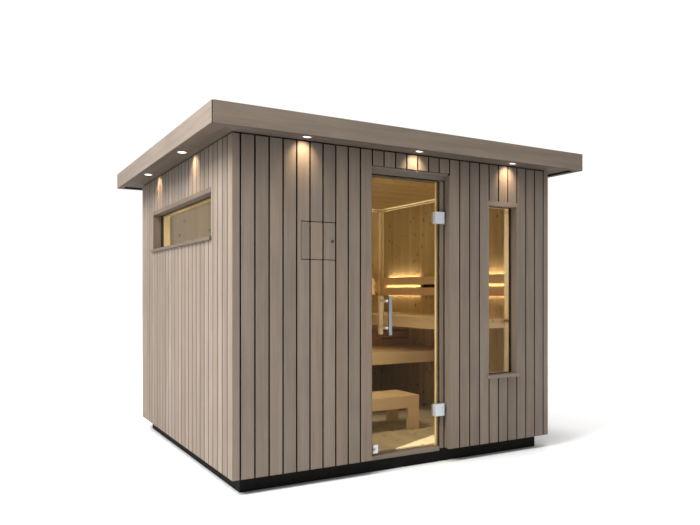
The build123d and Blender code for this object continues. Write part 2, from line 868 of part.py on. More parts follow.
# Backrests: two boards on battens, with an open slot between them
back_z = floor_z + back_low
back_top = back_z + 2 * back_board_h + back_slot
back_out = back_batten_t + back_board_t
with BuildPart() as backrests:
    for face, low, high, wall in (
        (rear_face, -room_x + back_rear_end, room_x - back_rear_end, outer_y - room_y),
        (right_face, -room_y + back_side_end, room_y - back_side_end, outer_x - room_x),
    ):
        with BuildSketch(face.offset(-wall - back_out)):
            rectangle(low, back_z, high, back_z + back_board_h)
            rectangle(low, back_top - back_board_h, high, back_top)
        extrude(amount=back_board_t)
        with BuildSketch(face.offset(-wall - back_batten_t)):
            for place in (
                low, low + back_batten_w + back_bay,
                high - 2 * back_batten_w - back_bay, high - back_batten_w,
            ):
                rectangle(place, back_z, place + back_batten_w, back_top)
        extrude(amount=back_batten_t)
keep(backrests, "backrests")

# Light strips on the wall behind the slot, in the two outer bays of each backrest
strip_z = back_z + back_board_h + back_slot / 2
with BuildPart() as backrest_lights:
    for face, low, high, wall in (
        (rear_face, -room_x + back_rear_end, room_x - back_rear_end, outer_y - room_y),
        (right_face, -room_y + back_side_end, room_y - back_side_end, outer_x - room_x),
    ):
        with BuildSketch(face.offset(-wall - strip_t)):
            for start in (low + back_batten_w, high - back_batten_w - back_bay):
                rectangle(
                    start + frame_joint, strip_z - strip_h / 2,
                    start + back_bay - frame_joint, strip_z + strip_h / 2,
                )
        extrude(amount=strip_t)
keep(backrest_lights, "backrest_lights")

# Footstool: slats between the boards of an apron, on four board legs
with BuildPart() as footstool:
    stool_z = floor_z + stool_h
    slot_front = stool_y - stool_d / 2 + stool_leg_t
    slot_rear = stool_y + stool_d / 2 - stool_leg_t
    slot_x = stool_w / 2 - stool_leg_t
    with BuildSketch(Plane.XY.offset(stool_z)):
        with Locations((stool_x, stool_y)):
            Rectangle(stool_w, stool_d)
        for low, high in slat_edges(slot_front, slot_rear - slat_gap, stool_slats):
            rectangle(stool_x - slot_x, low - slat_gap, stool_x + slot_x, low, mode=Mode.SUBTRACT)
        rectangle(stool_x - slot_x, slot_rear - slat_gap, stool_x + slot_x, slot_rear, mode=Mode.SUBTRACT)
    extrude(amount=-stool_top_t)
    with BuildSketch(Plane.XY.offset(stool_z - stool_top_t)):
        with Locations((stool_x, stool_y)):
            Rectangle(stool_w, stool_d)
            Rectangle(stool_w - 2 * stool_leg_t, stool_d - 2 * stool_leg_t, mode=Mode.SUBTRACT)
    extrude(amount=-(stool_apron_h - stool_top_t))
    with BuildSketch(Plane.XY.offset(floor_z)):
        with Locations((stool_x, stool_y)):
            with GridLocations(stool_w - stool_leg_w, stool_d - stool_leg_t, 2, 2):
                Rectangle(stool_leg_w, stool_leg_t)
    extrude(amount=stool_h - stool_apron_h)
keep(footstool, "footstool")
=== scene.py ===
"""Looks of the outdoor sauna cabin: boards, glass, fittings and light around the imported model."""
from __future__ import annotations

import logging
import math
import random
from dataclasses import dataclass, field
from enum import Enum
from typing import Iterable, Optional, Sequence, Union

import bmesh
import bpy
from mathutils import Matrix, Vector


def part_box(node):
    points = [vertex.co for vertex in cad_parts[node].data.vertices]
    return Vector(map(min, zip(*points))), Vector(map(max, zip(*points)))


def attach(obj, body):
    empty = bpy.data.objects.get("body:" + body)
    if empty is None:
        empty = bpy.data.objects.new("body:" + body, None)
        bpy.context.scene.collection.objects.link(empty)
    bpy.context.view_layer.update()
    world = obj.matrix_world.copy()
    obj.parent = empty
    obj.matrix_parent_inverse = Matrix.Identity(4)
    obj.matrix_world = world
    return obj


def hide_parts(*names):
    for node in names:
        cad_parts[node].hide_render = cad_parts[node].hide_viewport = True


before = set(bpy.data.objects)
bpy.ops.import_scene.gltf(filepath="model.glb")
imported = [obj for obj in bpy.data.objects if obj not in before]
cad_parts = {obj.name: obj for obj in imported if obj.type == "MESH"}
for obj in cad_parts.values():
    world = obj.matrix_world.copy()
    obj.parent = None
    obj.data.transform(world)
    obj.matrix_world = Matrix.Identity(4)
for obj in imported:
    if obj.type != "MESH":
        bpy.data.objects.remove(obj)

LOG = logging.getLogger("sauna")
MM = 0.001

# The open joint between two outside boards, and the thickness of those boards
WALL_GAP = 10.5 * MM
WALL_BOARD = 20 * MM
# Softened edges of boards, from fine trim to furniture
CRISP = 1 * MM
EASED = 1.2 * MM
SOFT = 1.5 * MM
ROUNDED = 2 * MM
WORN = 3 * MM

# Scales at which a timber finish reads its streaks, its fibres and its knots, with X along the grain
STREAK_SCALE = (0.9, 16.0, 16.0)
FIBRE_SCALE = (5.0, 170.0, 170.0)
KNOT_SCALE = (7.0, 11.0, 11.0)
# Tones that a board leans between, and the heights over which painted shade darkens a wall's top under the
# roof's overhang
COOL_TONE = (0.985, 1.0, 1.02)
WARM_TONE = (1.14, 0.97, 0.76)
GRAIN_DEPTH = 1.2 * MM
OVERHANG_SHADE_FROM = 1.86
OVERHANG_SHADE_TO = 2.222

Point2 = tuple[float, float]
Outline = Sequence[Point2]
Colour = tuple[float, float, float]
Place = Sequence[float]


# Shader expressions


class Signal:
    """An output socket of a material, which Python expressions can combine."""

    def __init__(self, graph: "Graph", socket: bpy.types.NodeSocket) -> None:
        """Hold one output socket of a graph."""
        self.graph = graph
        self.socket = socket

    @property
    def is_value(self) -> bool:
        """Whether the socket carries one number."""
        return self.socket.type == "VALUE"

    def _combine(self, operation: str, first: "Operand", second: "Operand") -> "Signal":
        """Add one maths node for this pair.

        Args:
            operation: The node's operation.
            first: The left operand.
            second: The right operand.

        Returns:
            The node's result.
        """
        if self.is_value:
            return self.graph.add("ShaderNodeMath", {"operation": operation}, {0: first, 1: second})
        by_value = isinstance(second, (int, float)) or (isinstance(second, Signal) and second.is_value)
        if by_value and operation == "MULTIPLY":
            return self.graph.add("ShaderNodeVectorMath", {"operation": "SCALE"}, {0: first, "Scale": second})
        return self.graph.add("ShaderNodeVectorMath", {"operation": operation}, {0: first, 1: second})

    def __add__(self, other: "Operand") -> "Signal":
        """Return the sum."""
        return self._combine("ADD", self, other)

    def __radd__(self, other: "Operand") -> "Signal":
        """Return the sum with this signal on the right."""
        return self._combine("ADD", other, self)

    def __sub__(self, other: "Operand") -> "Signal":
        """Return the difference."""
        return self._combine("SUBTRACT", self, other)

    def __rsub__(self, other: "Operand") -> "Signal":
        """Return the difference with this signal on the right."""
        return self._combine("SUBTRACT", other, self)

    def __mul__(self, other: "Operand") -> "Signal":
        """Return the product."""
        return self._combine("MULTIPLY", self, other)

    def __rmul__(self, other: "Operand") -> "Signal":
        """Return the product with this signal on the right."""
        return self._combine("MULTIPLY", self, other)

    def __gt__(self, other: "Operand") -> "Signal":
        """Return 1 where this signal is greater, else 0."""
        return self._combine("GREATER_THAN", self, other)

    def __pow__(self, other: "Operand") -> "Signal":
        """Return this signal raised to a power."""
        return self._combine("POWER", self, other)

    def fraction(self) -> "Signal":
        """Return this value's part after the point."""
        return self.graph.add("ShaderNodeMath", {"operation": "FRACT"}, {0: self})

    def clamp(self, low: float, high: float) -> "Signal":
        """Return this value mapped from low..high onto 0..1 and held there."""
        ends = {"Value": self, "From Min": low, "From Max": high}
        return self.graph.add("ShaderNodeMapRange", {"clamp": True}, ends)


Operand = Union[Signal, float, int, Sequence[float]]


class Graph:
    """The node graph of a material or of the world."""

    def __init__(self, owner: Union[bpy.types.Material, bpy.types.World]) -> None:
        """Empty the owner's graph.

        Args:
            owner: The material or the world.
        """
        owner.use_nodes = True
        self.owner = owner
        self.tree = owner.node_tree
        self.tree.nodes.clear()

    def node(self, kind: str, settings: dict[str, object], inputs: dict[object, Operand]) -> bpy.types.Node:
        """Add a node.

        Args:
            kind: The node's type.
            settings: The node's properties, which are set first.
            inputs: Values or signals by socket name or index.

        Returns:
            The new node.
        """
        made = self.tree.nodes.new(kind)
        for key, value in settings.items():
            setattr(made, key, value)
        for key, value in inputs.items():
            if isinstance(value, Signal):
                self.tree.links.new(value.socket, made.inputs[key])
            else:
                made.inputs[key].default_value = value
        return made

    def add(
        self, kind: str, settings: dict[str, object], inputs: dict[object, Operand], output: object = 0
    ) -> Signal:
        """Add a node as `node` does, and return one of its outputs."""
        made = self.node(kind, settings, inputs)
        return Signal(self, made.outputs[output])

    def noise(self, place: Signal, scale: float, detail: float, rough: float = 0.5) -> Signal:
        """Return a noise between about 0 and 1 at a place, with detail octaves weighted by rough."""
        inputs = {"Vector": place, "Scale": scale, "Detail": detail, "Roughness": rough}
        return self.add("ShaderNodeTexNoise", {}, inputs, "Fac")

    def mix(self, factor: Operand, first: Operand, second: Operand) -> Signal:
        """Return two colours blended, with factor as the share of the second."""
        ends = [end if isinstance(end, Signal) else (*end, 1.0) for end in (first, second)]
        return self.add("ShaderNodeMix", {"data_type": "RGBA"}, {0: factor, 6: ends[0], 7: ends[1]}, 2)

    def bump(self, height: Signal, strength: float, distance: float) -> Signal:
        """Return the normal of a relief, with distance as the metres of a full step of height."""
        return self.add("ShaderNodeBump", {}, {"Strength": strength, "Distance": distance, "Height": height})

    def finish(self, inputs: dict[object, Operand]) -> bpy.types.Material:
        """End the graph in one principled shader.

        Args:
            inputs: The shader's inputs.

        Returns:
            The material.
        """
        shader = self.node("ShaderNodeBsdfPrincipled", {}, inputs)
        self.node("ShaderNodeOutputMaterial", {}, {"Surface": Signal(self, shader.outputs[0])})
        return self.owner


# Finishes


@dataclass(frozen=True)
class Timber:
    """A sawn or planed timber with streaks along the grain, knots and a tint for each board."""

    name: str
    light: Colour
    dark: Colour
    knot: Colour = (0.2, 0.1, 0.05)
    knots: float = 0.0
    board_spread: float = 0.2
    hue_spread: float = 0.3
    painted_joint_shade: float = 0.0
    painted_overhang_shade: float = 0.0
    specular: float = 0.5
    roughness: float = 0.6
    relief: float = 0.4

    def material(self) -> bpy.types.Material:
        """Build the material.

        Returns:
            The material.
        """
        graph = Graph(bpy.data.materials.new(self.name))
        place = graph.add("ShaderNodeAttribute", {"attribute_name": "grain"}, {}, "Vector")
        tint = graph.add("ShaderNodeAttribute", {"attribute_name": "tint"}, {}, "Fac")
        long = graph.add("ShaderNodeMapping", {}, {"Vector": place, "Scale": STREAK_SCALE})
        fine = graph.add("ShaderNodeMapping", {}, {"Vector": place, "Scale": FIBRE_SCALE})
        fibres = graph.noise(fine, 1.0, 3.0, 0.65)
        streaks = graph.noise(long, 1.6, 5.0, 0.6).clamp(0.32, 0.68) * 0.6 + fibres.clamp(0.3, 0.75) * 0.4
        cloud = graph.noise(place, 3.0, 2.0)
        shade = (tint * self.board_spread + (1.0 - self.board_spread / 2)) * (cloud * 0.24 + 0.88)
        # Painted shade: the boards' sides darken with depth behind the face, where the open joints lie in
        # shade.
        if self.painted_joint_shade:
            depth = graph.add("ShaderNodeAttribute", {"attribute_name": "depth"}, {}, "Fac")
            shade = shade * (1.0 - depth.clamp(0.02, 0.2) * self.painted_joint_shade)
        # Painted shade: the boards grow darker towards the wall's top, where the roof's overhang shades them.
        if self.painted_overhang_shade:
            spot = graph.add("ShaderNodeTexCoord", {}, {}, "Object")
            level = graph.add("ShaderNodeSeparateXYZ", {}, {0: spot}, 2)
            shade = shade * (1.0 - level.clamp(OVERHANG_SHADE_FROM, OVERHANG_SHADE_TO) ** 2.0 * self.painted_overhang_shade)
        lean = (tint * 7.31).fraction() * self.hue_spread
        body = graph.mix(streaks, self.dark, self.light) * shade * graph.mix(lean, COOL_TONE, WARM_TONE)
        height = streaks
        if self.knots:
            knot, ring = self._knots(graph, place)
            body = graph.mix(knot, graph.mix(ring * 0.45, body, self.knot), self.knot)
            height = streaks - knot * 0.4
        return graph.finish({
            "Base Color": body, "Roughness": fibres * 0.16 + (self.roughness - 0.08),
            "Normal": graph.bump(height, self.relief, GRAIN_DEPTH), "Specular IOR Level": self.specular,
        })

    def _knots(self, graph: Graph, place: Signal) -> tuple[Signal, Signal]:
        """Return the masks of the knots and of the darker grain round them.

        Args:
            graph: The material's graph.
            place: Where the grain is read.

        Returns:
            The knot mask and the ring mask.
        """
        spread = graph.add("ShaderNodeMapping", {}, {"Vector": place, "Scale": KNOT_SCALE})
        cells = graph.node(
            "ShaderNodeTexVoronoi", {"feature": "F1", "voronoi_dimensions": "2D"},
            {"Vector": spread, "Scale": 1.0, "Randomness": 1.0},
        )
        near = Signal(graph, cells.outputs["Distance"])
        lots = graph.node("ShaderNodeSeparateColor", {}, {0: Signal(graph, cells.outputs["Color"])})
        chosen = Signal(graph, lots.outputs[0]) > (1.0 - self.knots)
        size = Signal(graph, lots.outputs[1]) * 0.055 + 0.03
        knot = (size - near).clamp(0.0, 0.02) * chosen
        ring = (size * 2.4 - near).clamp(0.0, 0.1) * chosen
        return knot, ring


@dataclass(frozen=True)
class Coating:
    """A plain painted, moulded or metal surface with fine variation."""

    name: str
    colour: Colour
    roughness: float = 0.5
    metallic: float = 0.0
    mottle: float = 0.08
    scale: float = 60.0
    relief: float = 0.05
    brushed: bool = False
    specular: float = 0.5

    def material(self) -> bpy.types.Material:
        """Build the material.

        Returns:
            The material.
        """
        graph = Graph(bpy.data.materials.new(self.name))
        spot = graph.add("ShaderNodeTexCoord", {}, {}, "Object")
        stretch = (12.0, 12.0, 0.6) if self.brushed else (1.0, 1.0, 1.0)
        place = graph.add("ShaderNodeMapping", {}, {"Vector": spot, "Scale": stretch})
        speck = graph.noise(place, self.scale, 4.0, 0.6)
        dark = tuple(part * (1.0 - self.mottle) for part in self.colour)
        light = tuple(min(1.0, part * (1.0 + self.mottle)) for part in self.colour)
        colour = graph.mix(speck.clamp(0.3, 0.7), dark, light)
        rough = speck * 0.2 + (self.roughness - 0.1)
        normal = graph.bump(speck, self.relief, 0.0008)
        return graph.finish({
            "Base Color": colour, "Roughness": rough, "Metallic": self.metallic, "Normal": normal,
            "Specular IOR Level": self.specular,
        })


@dataclass(frozen=True)
class Glazing:
    """Clear glass that lets light straight through and mirrors a little at its face."""

    name: str
    tint: Colour
    gloss: float = 1.0

    def material(self) -> bpy.types.Material:
        """Build the material.

        Returns:
            The material.
        """
        graph = Graph(bpy.data.materials.new(self.name))
        through = graph.add("ShaderNodeBsdfTransparent", {}, {"Color": (*self.tint, 1.0)})
        mirror = graph.add("ShaderNodeBsdfGlossy", {}, {"Color": (1.0, 1.0, 1.0, 1.0), "Roughness": 0.02})
        facing = graph.add("ShaderNodeFresnel", {}, {"IOR": 1.45})
        made = graph.node("ShaderNodeMixShader", {}, {0: facing * self.gloss, 1: through, 2: mirror})
        graph.node("ShaderNodeOutputMaterial", {}, {"Surface": Signal(graph, made.outputs[0])})
        return graph.owner


@dataclass(frozen=True)
class Glow:
    """A diffuser that gives light."""

    name: str
    colour: Colour
    strength: float

    def material(self) -> bpy.types.Material:
        """Build the material.

        Returns:
            The material.
        """
        graph = Graph(bpy.data.materials.new(self.name))
        spot = graph.add("ShaderNodeTexCoord", {}, {}, "Object")
        speck = graph.noise(spot, 40.0, 2.0)
        low = tuple(part * 0.92 for part in self.colour)
        colour = graph.mix(speck.clamp(0.3, 0.7), low, self.colour)
        return graph.finish({
            "Base Color": colour, "Roughness": 0.4, "Emission Color": colour,
            "Emission Strength": self.strength,
        })


Finish = Union[Timber, Coating, Glazing, Glow]


class Stock:
    """The finishes, each built once."""

    thermo = Timber(
        "thermo_wood", (0.236, 0.194, 0.158), (0.163, 0.129, 0.103), board_spread=0.26, hue_spread=0.35,
        painted_joint_shade=0.98, painted_overhang_shade=0.5, specular=0.3, roughness=0.66, relief=0.35,
    )
    fascia = Timber(
        "fascia_wood", (0.200, 0.165, 0.134), (0.138, 0.109, 0.086), board_spread=0.1, hue_spread=0.2,
        specular=0.3, roughness=0.66, relief=0.35,
    )
    # Painted shade: a near-black copy of the thermo wood, laid where only shade falls: the groove of the
    # cornice and the slot behind the backrest.
    painted_shade = Timber(
        "thermo_wood_painted_shade", (0.050, 0.038, 0.030), (0.036, 0.026, 0.020), specular=0.0, roughness=0.7,
        relief=0.35,
    )
    # Painted shade: a darker copy of the thermo wood for the soffit and the lip under the fascia, which lie
    # in the roof's shade.
    eaves = Timber(
        "thermo_wood_eaves_painted_shade", (0.108, 0.086, 0.070), (0.077, 0.060, 0.047), specular=0.1, roughness=0.7,
        relief=0.35,
    )
    # Painted shade: a darker copy of the thermo wood for the left window's outer boards, which lie in shade
    # beside the lit wall.
    surround = Timber(
        "thermo_wood_surround_painted_shade", (0.142, 0.111, 0.087), (0.102, 0.079, 0.061), board_spread=0.1, specular=0.2,
        roughness=0.66, relief=0.35,
    )
    # Painted shade: a darker copy of the thermo wood for the door's head board, casing head and trim, which
    # lie in the shade of the opening's head.
    head = Timber(
        "thermo_wood_head_painted_shade", (0.150, 0.125, 0.104), (0.105, 0.085, 0.070), board_spread=0.1, roughness=0.66,
        relief=0.35,
    )
    spruce = Timber(
        "spruce_lining", (0.69, 0.585, 0.385), (0.565, 0.45, 0.265), (0.20, 0.09, 0.035),
        knots=0.5, roughness=0.55, relief=0.06,
    )
    deck = Timber(
        "floor_wood", (0.63, 0.59, 0.52), (0.56, 0.51, 0.43), (0.22, 0.12, 0.06),
        knots=0.6, board_spread=0.12, roughness=0.55, relief=0.1,
    )
    pale = Timber(
        "pale_spruce", (0.88, 0.76, 0.54), (0.78, 0.63, 0.41), (0.25, 0.13, 0.06),
        knots=0.35, board_spread=0.12, roughness=0.5, relief=0.2,
    )
    # Near-white spruce for the cornice's beads and the corner strips: partly the wood's own pale tone, partly
    # painted highlight on the rounded mouldings.
    bead = Timber(
        "cornice_wood_painted_highlight", (0.96, 0.89, 0.70), (0.90, 0.81, 0.61), board_spread=0.06, roughness=0.5, relief=0.05
    )
    aspen = Timber(
        "bench_wood", (0.80, 0.66, 0.49), (0.70, 0.55, 0.39), board_spread=0.12, roughness=0.5, relief=0.15
    )
    rosy = Timber(
        "backrest_wood", (0.97, 0.78, 0.62), (0.87, 0.66, 0.51), board_spread=0.16, roughness=0.5, relief=0.15
    )
    smoked = Timber("dark_bench_wood", (0.68, 0.43, 0.28), (0.50, 0.31, 0.20), relief=0.2)
    black = Coating(
        "black_stain", (0.0100, 0.0095, 0.0088), roughness=0.8, mottle=0.3, scale=25.0, relief=0.1,
        specular=0.12,
    )
    backing = Coating(
        "brown_black_stain", (0.010, 0.0062, 0.0038), roughness=0.9, mottle=0.3, scale=25.0, relief=0.1,
        specular=0.05,
    )
    membrane = Coating(
        "roof_membrane", (0.05, 0.05, 0.052), roughness=0.8, mottle=0.15, scale=90.0, relief=0.2
    )
    steel = Coating(
        "brushed_steel", (0.33, 0.36, 0.41), roughness=0.34, metallic=1.0, mottle=0.06, scale=40.0,
        relief=0.03, brushed=True,
    )
    enamel = Coating("white_enamel", (0.80, 0.80, 0.79), roughness=0.4, mottle=0.03)
    satin = Coating(
        "satin_plate", (0.57, 0.61, 0.66), roughness=0.45, metallic=0.35, mottle=0.05, relief=0.03
    )
    sleeve = Coating("post_sleeve", (0.74, 0.70, 0.61), roughness=0.45, mottle=0.05, relief=0.03)
    iron = Coating("dark_lock", (0.03, 0.028, 0.026), roughness=0.5, mottle=0.2)
    rubber = Coating("black_seal", (0.015, 0.014, 0.013), roughness=0.7, mottle=0.2)
    glass = Glazing("clear_glass", (0.93, 0.90, 0.82), 0.08)
    pane = Glazing("window_glass", (0.95, 0.93, 0.89), 0.03)
    side_pane = Glazing("side_window_glass", (0.95, 0.93, 0.87), 0.1)
    strip = Glow("light_strip", (1.0, 0.95, 0.36), 2.0)
    lens = Glow("lamp_lens", (1.0, 0.97, 0.90), 3.0)

    def __init__(self) -> None:
        """Start with nothing built."""
        self._made: dict[str, bpy.types.Material] = {}

    def get(self, finish: Finish) -> bpy.types.Material:
        """Return a finish's material.

        Args:
            finish: The finish.

        Returns:
            Its material.
        """
        if finish.name not in self._made:
            self._made[finish.name] = finish.material()
        return self._made[finish.name]


STOCK = Stock()


# Places and meshes


@dataclass(frozen=True)
class Datum:
    """A local frame: a and b span a face and c points out of it."""

    origin: Vector
    a: Vector
    b: Vector
    c: Vector

    def at(self, a: float, b: float, c: float) -> Vector:
        """Return the point with these local coordinates."""
        return self.origin + self.a * a + self.b * b + self.c * c


class Along(Enum):
    """Which local direction a board's grain follows."""

    A = 0
    B = 1
    C = 2


@dataclass(frozen=True)
class Hole:
    """A rectangle left out of a boarded face."""

    low: float
    high: float
    bottom: float
    top: float


def rectangle(low: float, bottom: float, high: float, top: float) -> list[Point2]:
    """Return a rectangle's outline from two corners."""
    return [(low, bottom), (high, bottom), (high, top), (low, top)]


def section(x: float) -> Datum:
    """Return the frame of a profile drawn in Y and Z that runs on along X."""
    return Datum(Vector((x, 0, 0)), Vector((0, 1, 0)), Vector((0, 0, 1)), Vector((1, 0, 0)))


def even_strips(low: float, high: float, pitch: float) -> list[Point2]:
    """Divide a width into whole boards.

    Args:
        low: The first board's left edge.
        high: The last board's right edge.
        pitch: The wanted width of a board.

    Returns:
        Pairs of left and right edges.
    """
    count = round((high - low) / pitch)
    width = (high - low) / count
    return [(start, start + width) for start in (low + i * width for i in range(count))]


def board_outlines(
    low: float, high: float, bottom: float, top: float, holes: Iterable[Hole]
) -> list[Outline]:
    """Cut one upright board round the holes of its wall.

    Args:
        low: The board's left edge.
        high: Its right edge.
        bottom: Its lower end.
        top: Its upper end.
        holes: The wall's holes.

    Returns:
        The outlines of what is left of it.
    """
    least, shortest = 3 * MM, 5 * MM
    for hole in holes:
        if hole.low >= high or hole.high <= low:
            continue
        goes_on_left = hole.low > low + least
        if not goes_on_left and not hole.high < high - least:
            parts = ((bottom, hole.bottom), (hole.top, top))
            return [rectangle(low, start, high, end) for start, end in parts if end - start > shortest]
        stay, notch, cut = (low, hole.low, high) if goes_on_left else (high, hole.high, low)
        outline = [(stay, bottom)]
        if hole.bottom > bottom + least:
            outline += [(cut, bottom), (cut, hole.bottom), (notch, hole.bottom)]
        else:
            outline.append((notch, bottom))
        if hole.top < top - least:
            outline += [(notch, hole.top), (cut, hole.top), (cut, top)]
        else:
            outline.append((notch, top))
        return [outline + [(stay, top)]]
    return [rectangle(low, bottom, high, top)]


class Joinery:
    """Collects boards into one mesh that knows each board's grain and tint."""

    def __init__(self, seed: int, face: Optional[Datum] = None) -> None:
        """Start an empty mesh.

        Args:
            seed: The seed of the boards' tints and grain offsets.
            face: The outer face of a wall with open joints, behind which the boards' sides are painted darker
                as painted shade.
        """
        self.draw = random.Random(seed)
        self.face = face
        self.depth: list[float] = []
        self.points: list[Vector] = []
        self.faces: list[tuple[int, ...]] = []
        self.grain: list[float] = []
        self.tint: list[float] = []

    def board(
        self, datum: Datum, outline: Outline, low: float, high: float, along: Along,
        edge: float = SOFT, segments: int = 2,
    ) -> None:
        """Add one board with softened edges.

        Args:
            datum: The frame in which the outline is drawn.
            outline: The board's outline in a and b.
            low: The board's lower face along c.
            high: Its upper face along c.
            along: The direction of its grain.
            edge: The radius of its edges.
            segments: The number of steps in each edge.
        """
        solid = bmesh.new()
        ends = [[solid.verts.new((a, b, c)) for a, b in outline] for c in (low, high)]
        count = len(outline)
        solid.faces.new(list(reversed(ends[0])))
        solid.faces.new(ends[1])
        for i in range(count):
            j = (i + 1) % count
            solid.faces.new((ends[0][i], ends[0][j], ends[1][j], ends[1][i]))
        bmesh.ops.recalc_face_normals(solid, faces=solid.faces)
        if edge > 0:
            bmesh.ops.bevel(
                solid, geom=list(solid.edges), offset=edge, segments=segments, profile=0.5, affect="EDGES",
                clamp_overlap=True,
            )
        shift = Vector(self.draw.uniform(-20.0, 20.0) for _ in range(3))
        tone = self.draw.random()
        order = {Along.A: (0, 1, 2), Along.B: (1, 0, 2), Along.C: (2, 0, 1)}[along]
        first = len(self.points)
        for vert in solid.verts:
            self.points.append(datum.at(*vert.co))
            local = Vector(vert.co[i] for i in order) + shift
            self.grain.extend(local)
            self.tint.append(tone)
            # How deep each point lies behind the face, which the finish turns into painted shade in the
            # joints.
            if self.face:
                behind = (self.face.origin - self.points[-1]).dot(self.face.c)
                self.depth.append(min(1.0, max(0.0, behind / WALL_BOARD)))
        for face in solid.faces:
            self.faces.append(tuple(first + vert.index for vert in face.verts))
        solid.free()

    def piece(
        self, name: str, finish: Timber, body: str = "cabin", slot: str = "", replaces: Sequence[str] = ()
    ) -> bpy.types.Object:
        """Make the collected boards one piece.

        Args:
            name: The piece's name.
            finish: Its finish.
            body: The body that it rides on.
            slot: Not used.
            replaces: The nodes that it stands for.

        Returns:
            The new object.
        """
        mesh = bpy.data.meshes.new(name)
        mesh.from_pydata(self.points, [], self.faces)
        mesh.attributes.new("grain", "FLOAT_VECTOR", "POINT").data.foreach_set("vector", self.grain)
        mesh.attributes.new("tint", "FLOAT", "POINT").data.foreach_set("value", self.tint)
        if self.face:
            mesh.attributes.new("depth", "FLOAT", "POINT").data.foreach_set("value", self.depth)
        return place_piece(name, mesh, finish, body, replaces)


def place_piece(
    name: str, mesh: bpy.types.Mesh, finish: Finish, body: str, replaces: Sequence[str] = (),
) -> bpy.types.Object:
    """Put a mesh in the scene as a piece of the cabin.

    Args:
        name: The piece's name.
        mesh: Its mesh, in the row frame.
        finish: Its finish.
        body: The body that it rides on.
        replaces: The nodes that it stands for.

    Returns:
        The new object.
    """
    fixer = bmesh.new()
    fixer.from_mesh(mesh)
    bmesh.ops.recalc_face_normals(fixer, faces=fixer.faces)
    fixer.to_mesh(mesh)
    fixer.free()
    thing = bpy.data.objects.new(name, mesh)
    bpy.context.scene.collection.objects.link(thing)
    mesh.materials.append(STOCK.get(finish))
    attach(thing, body)
    if replaces:
        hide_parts(*replaces)
    LOG.info("%s: %d faces", name, len(mesh.polygons))
    return thing


def turned(name: str, profile: Outline, centre: Vector, axis: Vector, steps: int = 48) -> bpy.types.Mesh:
    """Make a turned mesh from a profile.

    Args:
        name: The mesh's name.
        profile: Pairs of radius and height along the axis.
        centre: The foot of the axis.
        axis: The direction of the axis.
        steps: The number of steps round it.

    Returns:
        The mesh.
    """
    up = axis.normalized()
    side = up.orthogonal().normalized()
    other = up.cross(side)
    points, faces = [], []
    for radius, height in profile:
        for i in range(steps):
            turn = 2 * math.pi * i / steps
            points.append(centre + up * height + (side * math.cos(turn) + other * math.sin(turn)) * radius)
    for row in range(len(profile) - 1):
        for i in range(steps):
            j = (i + 1) % steps
            faces.append((row * steps + i, row * steps + j, (row + 1) * steps + j, (row + 1) * steps + i))
    faces.append(tuple(reversed(range(steps))))
    faces.append(tuple((len(profile) - 1) * steps + i for i in range(steps)))
    mesh = bpy.data.meshes.new(name)
    mesh.from_pydata(points, [], faces)
    mesh.polygons.foreach_set("use_smooth", [len(face) == 4 for face in faces])
    return mesh


def dress(node: str, finish: Finish, edge: float = 0.0) -> None:
    """Give a CAD node its finish, and soften its edges if asked.

    Args:
        node: The node's name.
        finish: Its finish.
        edge: The width of the softened edges, or 0.
    """
    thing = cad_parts[node]
    thing.data.materials.clear()
    thing.data.materials.append(STOCK.get(finish))
    if edge:
        soften = thing.modifiers.new("edges", "BEVEL")
        soften.width = edge
        soften.segments = 2
        soften.limit_method = "ANGLE"
    LOG.info("%s dressed with %s", node, finish.name)


def span(node: str, axis: int) -> Point2:
    """Return a node's low and high ends along an axis."""
    low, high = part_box(node)
    return low[axis], high[axis]


PLAN = Datum(Vector((0, 0, 0)), Vector((1, 0, 0)), Vector((0, 1, 0)), Vector((0, 0, 1)))


def wall_datum(side: str, reach: float) -> Datum:
    """Return the frame of one wall's outer face, seen from outside.

    Args:
        side: The wall's name: front, rear, left or right.
        reach: How far the face is from the middle.

    Returns:
        The frame, with a to the right, b up and c out.
    """
    outward = Vector({"front": (0, -1, 0), "rear": (0, 1, 0), "left": (-1, 0, 0), "right": (1, 0, 0)}[side])
    up = Vector((0, 0, 1))
    return Datum(outward * reach, up.cross(outward), up, outward)


# Sub-assemblies


@dataclass(frozen=True)
class WindowTrim:
    """The boards round each window, which both the walls and the windows need."""

    board: float = 12 * MM
    header: float = 33 * MM
    sill: float = 24 * MM


TRIM = WindowTrim()


